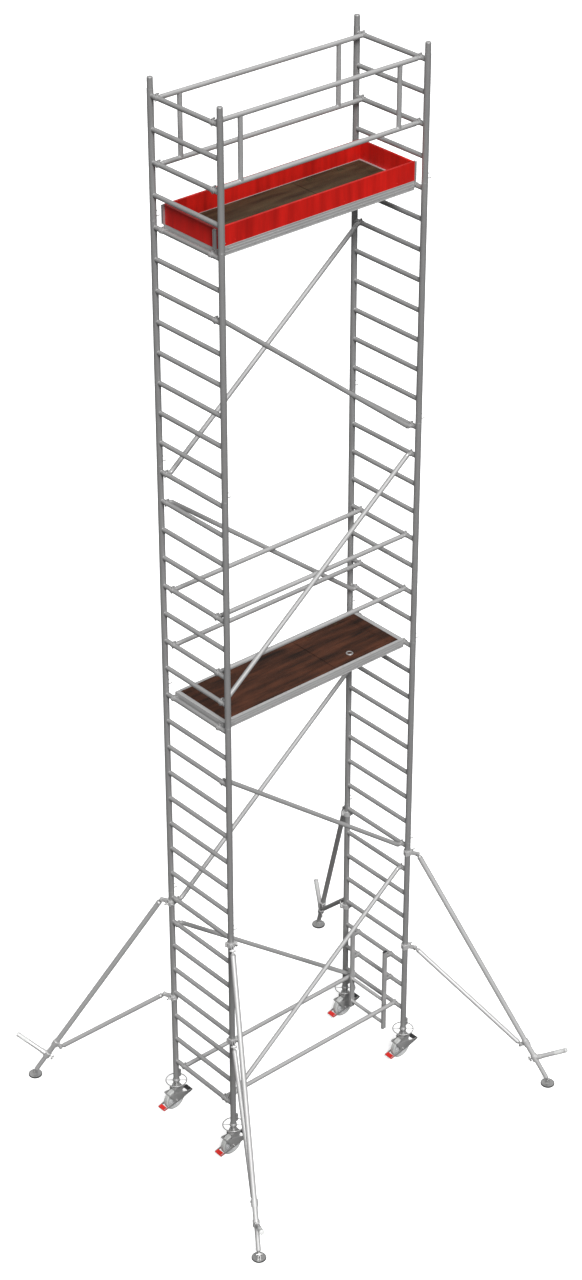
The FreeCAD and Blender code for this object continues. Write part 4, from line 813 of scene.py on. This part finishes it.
def ladder_details():
    low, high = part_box("access_ladder")
    x = (low.x + high.x) / 2
    cap = joined((block(0.0425, 0.0225, 0.007, 0.0025, 3), at()),
                 (block(0.035, 0.015, 0.012, 0.001), at(0, 0, -0.011)))
    caps = []
    for y in (low.y + LADDER_STILE / 2, high.y - LADDER_STILE / 2):
        caps.append(at(x, y, high.z))
        caps.append(at(x, y, low.z) @ FLIP)
    fixed("ladder_end_caps", "zinc_steel", BLACK_PLASTIC, cap, caps)
    rivet = dome(0.0045, 0.002)
    rivets = []
    for side, y in ((-1, low.y), (1, high.y)):
        out = facing(side)
        for z in (0.28, 0.53):
            rivets += [at(x, y, z + shift) @ out for shift in (-0.006, 0.006)]
        for rung in (34, 35):
            rivets += [at(x + shift, y, rung_height(rung)) @ out for shift in (-0.01, 0.008)]
    fixed("ladder_rivets", "zinc_steel", ZINC, rivet, rivets)


# ---------------- castors
def castor_frame(corner):
    """Swivel axis on the ground and the wheel axle (trail, height)."""
    post = POSTS[corner]
    axle = Vector(JOINTS["wheel_roll_" + corner]["pos_m"])
    return at(post.x, post.y), axle.x - post.x, axle.z


def threaded_spindle(corner, spot):
    """Jack spindle: core tube, trapezoid thread, flange and kingpin."""
    low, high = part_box("castor_spindle_" + corner)
    lead = 0.008
    crest = 0.019
    root = 0.0173
    flange_top = low.z + 0.038
    start = flange_top + 0.004
    turns = int((high.z - 0.006 - start) / lead)
    steps = 18
    shape = bmesh.new()
    profile = [(root, 0), (crest, 0.0012), (crest, 0.004), (root, 0.0052), (root, lead)]
    points = [shape.verts.new((radius, 0, height)) for radius, height in profile]
    edges = [shape.edges.new(pair) for pair in zip(points, points[1:])]
    bmesh.ops.spin(shape, geom=points + edges, cent=(0, 0, 0), axis=(0, 0, 1),
                   dvec=(0, 0, lead / steps), angle=2 * math.pi * turns, steps=steps * turns)
    thread = finished(shape)
    length = high.z - flange_top
    core = turned([(0.014, 0), (root + 0.0004, 0), (root + 0.0004, length - 0.0015), (root - 0.001, length),
                   (0.014, length)], 32, ring=True)
    flange = turned([(0, flange_top - 0.008), (0.0345, flange_top - 0.008), (0.035, flange_top - 0.0072),
                     (0.035, flange_top - 0.0012), (0.034, flange_top), (0.0225, flange_top),
                     (0.0205, flange_top + 0.003), (0.014, flange_top + 0.003), (0.014, flange_top)], 40)
    pin = turned([(0, low.z), (0.011, low.z), (0.0128, low.z + 0.0018), (0.0128, low.z + 0.008),
                  (0.008, low.z + 0.008), (0.008, flange_top - 0.008), (0, flange_top - 0.008)], 28)
    item = piece("spindle_" + corner, "jack_" + corner, "zinc_steel", ZINC,
                 (thread, spot @ at(0, 0, start)), (core, spot @ at(0, 0, flange_top)),
                 (flange, spot), (pin, spot))
    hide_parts("castor_spindle_" + corner)


def handwheel(corner, spot):
    """Height nut with its spoked rim: knurled hub, cast spokes and round wire rim."""
    low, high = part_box("castor_handwheel_" + corner)
    height = high.z - low.z
    hub = turned([(0.01905, 0.001), (0.0205, 0), (0.027, 0), (0.029, 0.0015), (0.03, 0.004),
                  (0.03, height - 0.012), (0.0285, height - 0.01), (0.027, height - 0.0015),
                  (0.0255, height), (0.0205, height), (0.01905, height - 0.001)], 48, ring=True)
    wire_radius = 0.0045
    rim_radius = 0.095 - wire_radius
    angles = [step * math.pi / 6 for step in range(12)]
    rim = turned([(rim_radius + wire_radius * math.cos(angle), wire_radius * math.sin(angle))
                  for angle in angles], 72, ring=True)
    rise = height / 3
    spoke = turned([(0, 0.026), (0.0052, 0.028), (0.0042, 0.036), (0.0034, 0.06), (0.0036, 0.082),
                    (0.0052, rim_radius - 0.0026), (0, rim_radius)], 14)
    parts = [(hub, spot @ at(0, 0, low.z)), (rim, spot @ at(0, 0, low.z + rise))]
    for quarter in range(4):
        parts.append((spoke, spot @ at(0, 0, low.z + rise) @ turn_z(90 * quarter + SPOKE_TURN) @ AXIS_X))
    knurl = block(0.0016, 0.0026, 0.018, 0.0006, 1)
    for step in range(24):
        parts.append((knurl, spot @ at(0, 0, low.z + 0.0045) @ turn_z(15 * step + 7.5) @ at(0.0302)))
    item = piece("handwheel_rim_" + corner, "handwheel_" + corner, "zinc_steel", PRESSED, *parts)
    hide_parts("castor_handwheel_" + corner)


def wheel(corner, spot, trail, axle_z):
    """Pale tyre with a grooved tread on a ribbed plastic hub."""
    low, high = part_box("castor_wheel_" + corner)
    radius = (high.x - low.x) / 2
    half = 0.024
    place = spot @ at(trail, 0, axle_z) @ AXIS_Y
    seat = radius - 0.022
    tread = [(seat, -half + 0.004), (radius - 0.012, -half + 0.0005), (radius - 0.005, -half + 0.003)]
    for index in range(-2, 3):
        crown = radius - 0.0004 * abs(index)
        z = index * 0.0072
        tread += [(crown, z - 0.0028), (crown, z + 0.0028)]
        if index < 2:
            tread += [(crown - 0.0018, z + 0.0032), (crown - 0.0018, z + 0.004)]
    tread += [(radius - 0.005, half - 0.003), (radius - 0.012, half - 0.0005), (seat, half - 0.004)]
    tyre = turned(tread, 72, ring=True)
    near = [(0.00605, -0.027), (0.0205, -0.027), (0.0225, -0.0255), (0.024, -0.01), (0.03, -0.0062),
            (0.056, -0.0055), (seat - 0.008, -0.008), (seat - 0.006, -half + 0.004), (seat, -half + 0.003)]
    far = [(reach, -height) for reach, height in reversed(near)]
    hub = turned(near + far, 60, ring=True)
    rib = slab([(0.023, -0.019), (0.03, -0.0185), (seat - 0.0068, -0.0175), (seat - 0.0068, 0.0175),
                (0.03, 0.0185), (0.023, 0.019)], 0.0034, 0.0008, 1)
    ribs = [(rib, place @ turn_z(45 * step) @ at(0, -0.0017)) for step in range(8)]
    body = "wheel_" + corner
    item = piece("tyre_" + corner, body, "pale_tyre", TYRE, (tyre, place))
    piece("hub_" + corner, body, "pale_tyre", HUB_PLASTIC, (hub, place), *ribs)
    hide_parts("castor_wheel_" + corner)


def fork_details(corner, spot, trail, axle_z):
    """Bearing dust cover, rivets and axle nuts on the pressed fork."""
    race_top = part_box("castor_fork_" + corner)[1].z
    cover_ring = turned([(0.0372, race_top - 0.015), (0.039, race_top - 0.014), (0.0398, race_top - 0.0095),
                         (0.039, race_top - 0.005), (0.0376, race_top - 0.002), (0.0362, race_top + 0.0002),
                         (0.0355, race_top - 0.002), (0.037, race_top - 0.006)], 48, ring=True)
    rivet = dome(0.0042, 0.002)
    rivets = [(rivet, spot @ at(x, y, race_top - 0.016)) for x in (-0.042, 0.042) for y in (-0.026, 0.026)]
    stud = turned([(0, 0), (0.0058, 0), (0.0058, 0.0105), (0.0048, 0.0115), (0, 0.0115)], 20)
    nut = joined((hexagon(0.019, 0.008, 0.0062), at()), (stud, at()))
    out = 0.0408
    nuts = [(nut, spot @ at(trail, side * out, axle_z) @ facing(side)) for side in (-1, 1)]
    piece("fork_dust_cover_" + corner, "fork_" + corner, "zinc_steel", ZINC, (cover_ring, spot), *rivets)
    piece("axle_nuts_" + corner, "fork_" + corner, "zinc_steel", ZINC, *nuts)


def brake(corner, spot, trail, axle_z):
    """Rocker brake: two pressed side plates, tie bar, ribbed red and black pedals."""
    wheel_low, wheel_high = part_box("castor_wheel_" + corner)
    wheel_radius = (wheel_high.x - wheel_low.x) / 2
    red_angle = 197
    black_angle = 9.5
    tie_angle = 132
    inner = 0.036
    thickness = 0.004

    def by_axle(reach, angle):
        turned_by = math.radians(angle)
        return (trail + reach * math.cos(turned_by), axle_z + reach * math.sin(turned_by))

    tie_reach = wheel_radius + 0.007
    outline = [
        by_axle(wheel_radius + 0.05, red_angle + 3), by_axle(0.026, 265), by_axle(0.062, 347),
        by_axle(wheel_radius + 0.066, black_angle - 3), by_axle(wheel_radius + 0.066, black_angle + 5),
        by_axle(wheel_radius + 0.03, black_angle + 9), by_axle(0.08, 50), by_axle(0.078, 88),
        by_axle(tie_reach + 0.003, tie_angle - 5), by_axle(tie_reach + 0.005, tie_angle + 1),
        by_axle(tie_reach - 0.002, tie_angle + 4), by_axle(0.04, 150), by_axle(0.036, 190),
        by_axle(wheel_radius + 0.048, red_angle - 5),
    ]
    side = slab(outline, thickness, 0.0012)
    boss = turned([(0.00605, 0), (0.016, 0), (0.016, 0.0016), (0.0145, 0.0022), (0.00605, 0.0022)],
                  32, ring=True)
    tie_x, tie_z = by_axle(tie_reach, tie_angle)
    tie = turned([(0, -inner - 0.0045), (0.0036, -inner - 0.0045), (0.004, -inner - 0.004),
                  (0.004, inner + 0.004), (0.0036, inner + 0.0045), (0, inner + 0.0045)], 20)
    item = piece("brake_rocker_" + corner, "brake_" + corner, "zinc_steel", PRESSED,
                 (side, spot @ at(0, inner)), (side, spot @ at(0, -inner - thickness)),
                 (boss, spot @ at(trail, inner - 0.0001, axle_z) @ AXIS_Y @ FLIP @ at(0, 0, -0.0001)),
                 (tie, spot @ at(tie_x, 0, tie_z) @ AXIS_Y))
    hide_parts("castor_brake_" + corner)
    pad = joined((block(0.04, 2 * inner + 0.012, 0.011, 0.003, 3), at(0, 0, -0.0055)),
                 *[(block(0.003, 2 * inner + 0.004, 0.0018, 0.0007, 1), at(step * 0.0062, 0, 0.0052))
                   for step in range(-2, 3)])
    for name, reach, angle, material in (
            ("brake_pedal_red_", wheel_radius + 0.032, red_angle, RED_PLASTIC),
            ("brake_pedal_black_", wheel_radius + 0.058, black_angle, BLACK_PLASTIC)):
        x, z = by_axle(reach, angle)
        piece(name + corner, "brake_" + corner, "zinc_steel", material,
              (pad, spot @ at(x, 0, z) @ turn_y(-13)))


def castors():
    for corner in CORNERS:
        spot, trail, axle_z = castor_frame(corner)
        threaded_spindle(corner, spot)
        handwheel(corner, spot)
        wheel(corner, spot, trail, axle_z)
        fork_details(corner, spot, trail, axle_z)
        brake(corner, spot, trail, axle_z)
        cover("castor_fork_" + corner, PRESSED)


# ---------------- outriggers
def outrigger_frame(corner):
    """Local frame of an outrigger: post axis on the ground, X towards the foot."""
    line = Vector(JOINTS["leg_slide_" + corner]["axis"])
    azimuth = math.atan2(line.y, line.x)
    slope = math.asin(-line.z / line.length)
    post = POSTS[corner]
    return at(post.x, post.y) @ Matrix.Rotation(azimuth, 4, "Z"), azimuth, slope


def outriggers():
    upper = Vector((COUPLER_REACH, 0, rung_height(29) - COUPLER_DROP))
    lower = Vector((COUPLER_REACH, 0, rung_height(33) - COUPLER_DROP))
    bolt = headed(hexagon(0.019, 0.008), 0.0115, -0.001, 0.0006, 24)
    nut = headed(hexagon(0.019, 0.009, 0.0062), 0.0056, 0, 0.0125, 16)
    small_nut = headed(hexagon(0.017, 0.008, 0.0052), 0.0048, 0, 0.012, 16)
    wing = slab([(-0.004, 0), (0.004, 0), (0.007, 0.006), (0.017, 0.013), (0.024, 0.021),
                 (0.021, 0.026), (0.014, 0.024), (0.006, 0.014), (0, 0.011), (-0.006, 0.014),
                 (-0.014, 0.024), (-0.021, 0.026), (-0.024, 0.021), (-0.017, 0.013), (-0.007, 0.006)],
                0.0045, 0.0014)
    taper = [(0.006, 0.0168), (0.0108, 0.0165), (0.0125, 0.0195)]
    plugs = [turned(taper + [(radius - 0.003, 0.03), (radius + 0.0004, 0.0335),
                             (radius + 0.0007, 0.037), (radius, 0.0385), (radius - 0.002, 0.0385),
                             (0.006, 0.0335)], 32, ring=True)
             for radius in (MAIN_TUBE_RADIUS, STRUT_RADIUS)]
    leg_plug = turned(taper + [(0.0175, 0.03), (0.0202, 0.0338), (0.006, 0.0338)], 32, ring=True)
    tip = turned([(0, 0), (0.0165, 0), (0.0165, 0.001), (0.0205, 0.001), (0.0214, 0.003),
                  (0.0208, 0.0085), (0.017, 0.012), (0.008, 0.0132), (0, 0.0135)], 32)
    grip = turned([(0.0201, 0), (0.0216, 0.0015), (0.0216, 0.0105), (0.0204, 0.012), (0.0204, 0.018),
                   (0.0201, 0.018)], 32, ring=True)
    rivet = dome(0.0045, 0.002)
    pad = turned([(0.04, 0.0008), (0.05, 0), (0.0575, 0.0006), (0.06, 0.003), (0.0605, 0.0085),
                  (0.0595, 0.0135), (0.056, 0.0142), (0.056, 0.0125), (0.0588, 0.012),
                  (0.0588, 0.0075), (0.04, 0.007)], 56, ring=True)
    hinge_side = facing(-1)
    nut_side = facing(1)
    for corner in CORNERS:
        spot, azimuth, slope = outrigger_frame(corner)
        metal = outrigger_aluminium("outrigger_aluminium_" + corner, azimuth, slope)
        cover("outrigger_arm_" + corner, metal)
        cover("outrigger_leg_" + corner, metal)
        cover("outrigger_foot_" + corner, ZINC)
        foot_low, foot_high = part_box("outrigger_foot_" + corner)
        foot_x = (Vector(JOINTS["foot_tilt_" + corner]["pos_m"]) - spot.translation).to_2d().length
        foot_z = JOINTS["foot_tilt_" + corner]["pos_m"][2]
        foot = Vector((foot_x, 0, foot_z))
        line = (foot - upper).normalized()
        inward = Vector((line.z, 0, -line.x))
        collar = upper + line * COLLAR_STATION
        strut_end = collar + inward * COLLAR_LUG
        clamp = upper + line * CLAMP_STATION
        parts = []
        for pivot in (upper, lower, strut_end):
            parts.append((bolt, spot @ at(*pivot) @ at(0, -BOLT_SEAT - 0.004) @ hinge_side))
            parts.append((nut, spot @ at(*pivot) @ at(0, BOLT_SEAT) @ nut_side))
        for z in (upper.z, lower.z):
            parts.append((small_nut, spot @ at(0.021, EYEBOLT_Y, z) @ AXIS_X))
            parts.append((wing, spot @ at(0.026, EYEBOLT_Y - 0.0022, z) @ AXIS_X))
        piece("outrigger_bolts_" + corner, "outrigger_" + corner, "zinc_steel", ZINC, *parts)
        outward = towards(-inward)
        base = clamp - inward * CLAMP_RADIUS
        sleeve = [(tip, spot @ at(*(base - inward * (HANDLE_LENGTH - 0.0008))) @ outward)]
        for step in range(5):
            station = HANDLE_LENGTH - 0.105 + 0.018 * step
            sleeve.append((grip, spot @ at(*(base - inward * station)) @ outward))
        piece("outrigger_grip_" + corner, "outrigger_" + corner, "aluminium_tube", PALE_PLASTIC, *sleeve)
        strut_line = (strut_end - lower).normalized()
        rivets = []
        for start, way, radius in ((upper, line, MAIN_TUBE_RADIUS), (lower, strut_line, STRUT_RADIUS),
                                   (strut_end, -strut_line, STRUT_RADIUS)):
            for side in (-1, 1):
                stand = at(0, side * (radius - 0.0002)) @ facing(side)
                rivets.append((rivet, spot @ at(*(start + way * 0.046)) @ stand))
        piece("outrigger_rivets_" + corner, "outrigger_" + corner, "zinc_steel", ZINC, *rivets)
        ends = []
        for start, way, plug in ((upper, line, plugs[0]), (lower, strut_line, plugs[1]),
                                 (strut_end, -strut_line, plugs[1])):
            ends.append((plug, spot @ at(*start) @ towards(way)))
        piece("outrigger_plugs_" + corner, "outrigger_" + corner, "aluminium_cast", CAST_METAL, *ends)
        toe = towards(-line)
        piece("leg_plug_" + corner, "leg_" + corner, "aluminium_cast", CAST_METAL,
              (leg_plug, spot @ at(*foot) @ toe))
        pad_centre = at((foot_low.x + foot_high.x) / 2, (foot_low.y + foot_high.y) / 2)
        foot_nut = [(nut, spot @ at(*foot) @ at(0, BOLT_SEAT) @ nut_side),
                    (bolt, spot @ at(*foot) @ at(0, -BOLT_SEAT - 0.004) @ hinge_side)]
        piece("foot_pad_" + corner, "foot_" + corner, "zinc_steel", RUBBER, (pad, pad_centre))
        piece("foot_bolt_" + corner, "foot_" + corner, "zinc_steel", ZINC, *foot_nut)


# ---------------- studio
def studio():
    floor_paint = Paint("pale_floor", Roughness=0.9, Emission_Color=(1, 1, 1, 1), Emission_Strength=0.45)
    floor_paint.set("Base Color", (0.88, 0.88, 0.88, 1))
    shape = bmesh.new()
    bmesh.ops.create_grid(shape, x_segments=4, y_segments=4, size=150)
    floor = bpy.data.objects.new("floor", finished(shape))
    floor.data.materials.append(floor_paint.material)
    bpy.context.scene.collection.objects.link(floor)
    floor.location.z = -0.0005
    floor.visible_diffuse = False
    floor.visible_glossy = False
    world = bpy.data.worlds.new("soft_studio")
    world.use_nodes = True
    nodes = world.node_tree.nodes
    links = world.node_tree.links
    around = nodes.new("ShaderNodeTexCoord")
    split = nodes.new("ShaderNodeSeparateXYZ")
    dome_light = nodes.new("ShaderNodeValToRGB")
    links.new(around.outputs["Generated"], split.inputs[0])
    links.new(split.outputs["Z"], dome_light.inputs["Fac"])
    links.new(dome_light.outputs["Color"], nodes["Background"].inputs["Color"])
    for stop, (position, level) in zip(dome_light.color_ramp.elements, ((0.0, 0.1), (0.9, 1.0))):
        stop.position = position
        stop.color = grey(level)
    nodes["Background"].inputs["Strength"].default_value = 0.75
    backdrop = nodes.new("ShaderNodeBackground")
    backdrop.inputs["Color"].default_value = grey(1.0)
    seen = nodes.new("ShaderNodeMixShader")
    links.new(nodes.new("ShaderNodeLightPath").outputs["Is Camera Ray"], seen.inputs["Fac"])
    links.new(nodes["Background"].outputs[0], seen.inputs[1])
    links.new(backdrop.outputs[0], seen.inputs[2])
    links.new(seen.outputs[0], nodes["World Output"].inputs["Surface"])
    bpy.context.scene.world = world
    lamps = (
        ("key", 3.4, 20, Vector((-0.36, -0.8, 0.8))),
        ("fill", 0.35, 60, Vector((-0.9, -0.25, 0.5))),
    )
    for name, strength, spread, source in lamps:
        lamp = bpy.data.lights.new(name, "SUN")
        lamp.energy = strength
        lamp.angle = math.radians(spread)
        holder = bpy.data.objects.new(name, lamp)
        holder.rotation_euler = source.to_track_quat("Z", "Y").to_euler()
        bpy.context.scene.collection.objects.link(holder)
    eye = bpy.data.cameras.new("camera")
    eye.lens = 81.69
    eye.sensor_width = 36
    eye.clip_end = 500
    camera = bpy.data.objects.new("camera", eye)
    camera.location = (-12.962, -14.977, 16.686)
    camera.rotation_euler = Euler((math.radians(90 - 31.517), 0, math.radians(-40.875)))
    bpy.context.scene.collection.objects.link(camera)
    bpy.context.scene.camera = camera
    bpy.context.scene.view_settings.view_transform = "Standard"


studio()
for material, *nodes in PAINTED_NODES:
    for node in nodes:
        cover(node, material)
end_frame_details()
brace_details()
platform_details()
toe_board_details()
ladder_details()
castors()
outriggers()
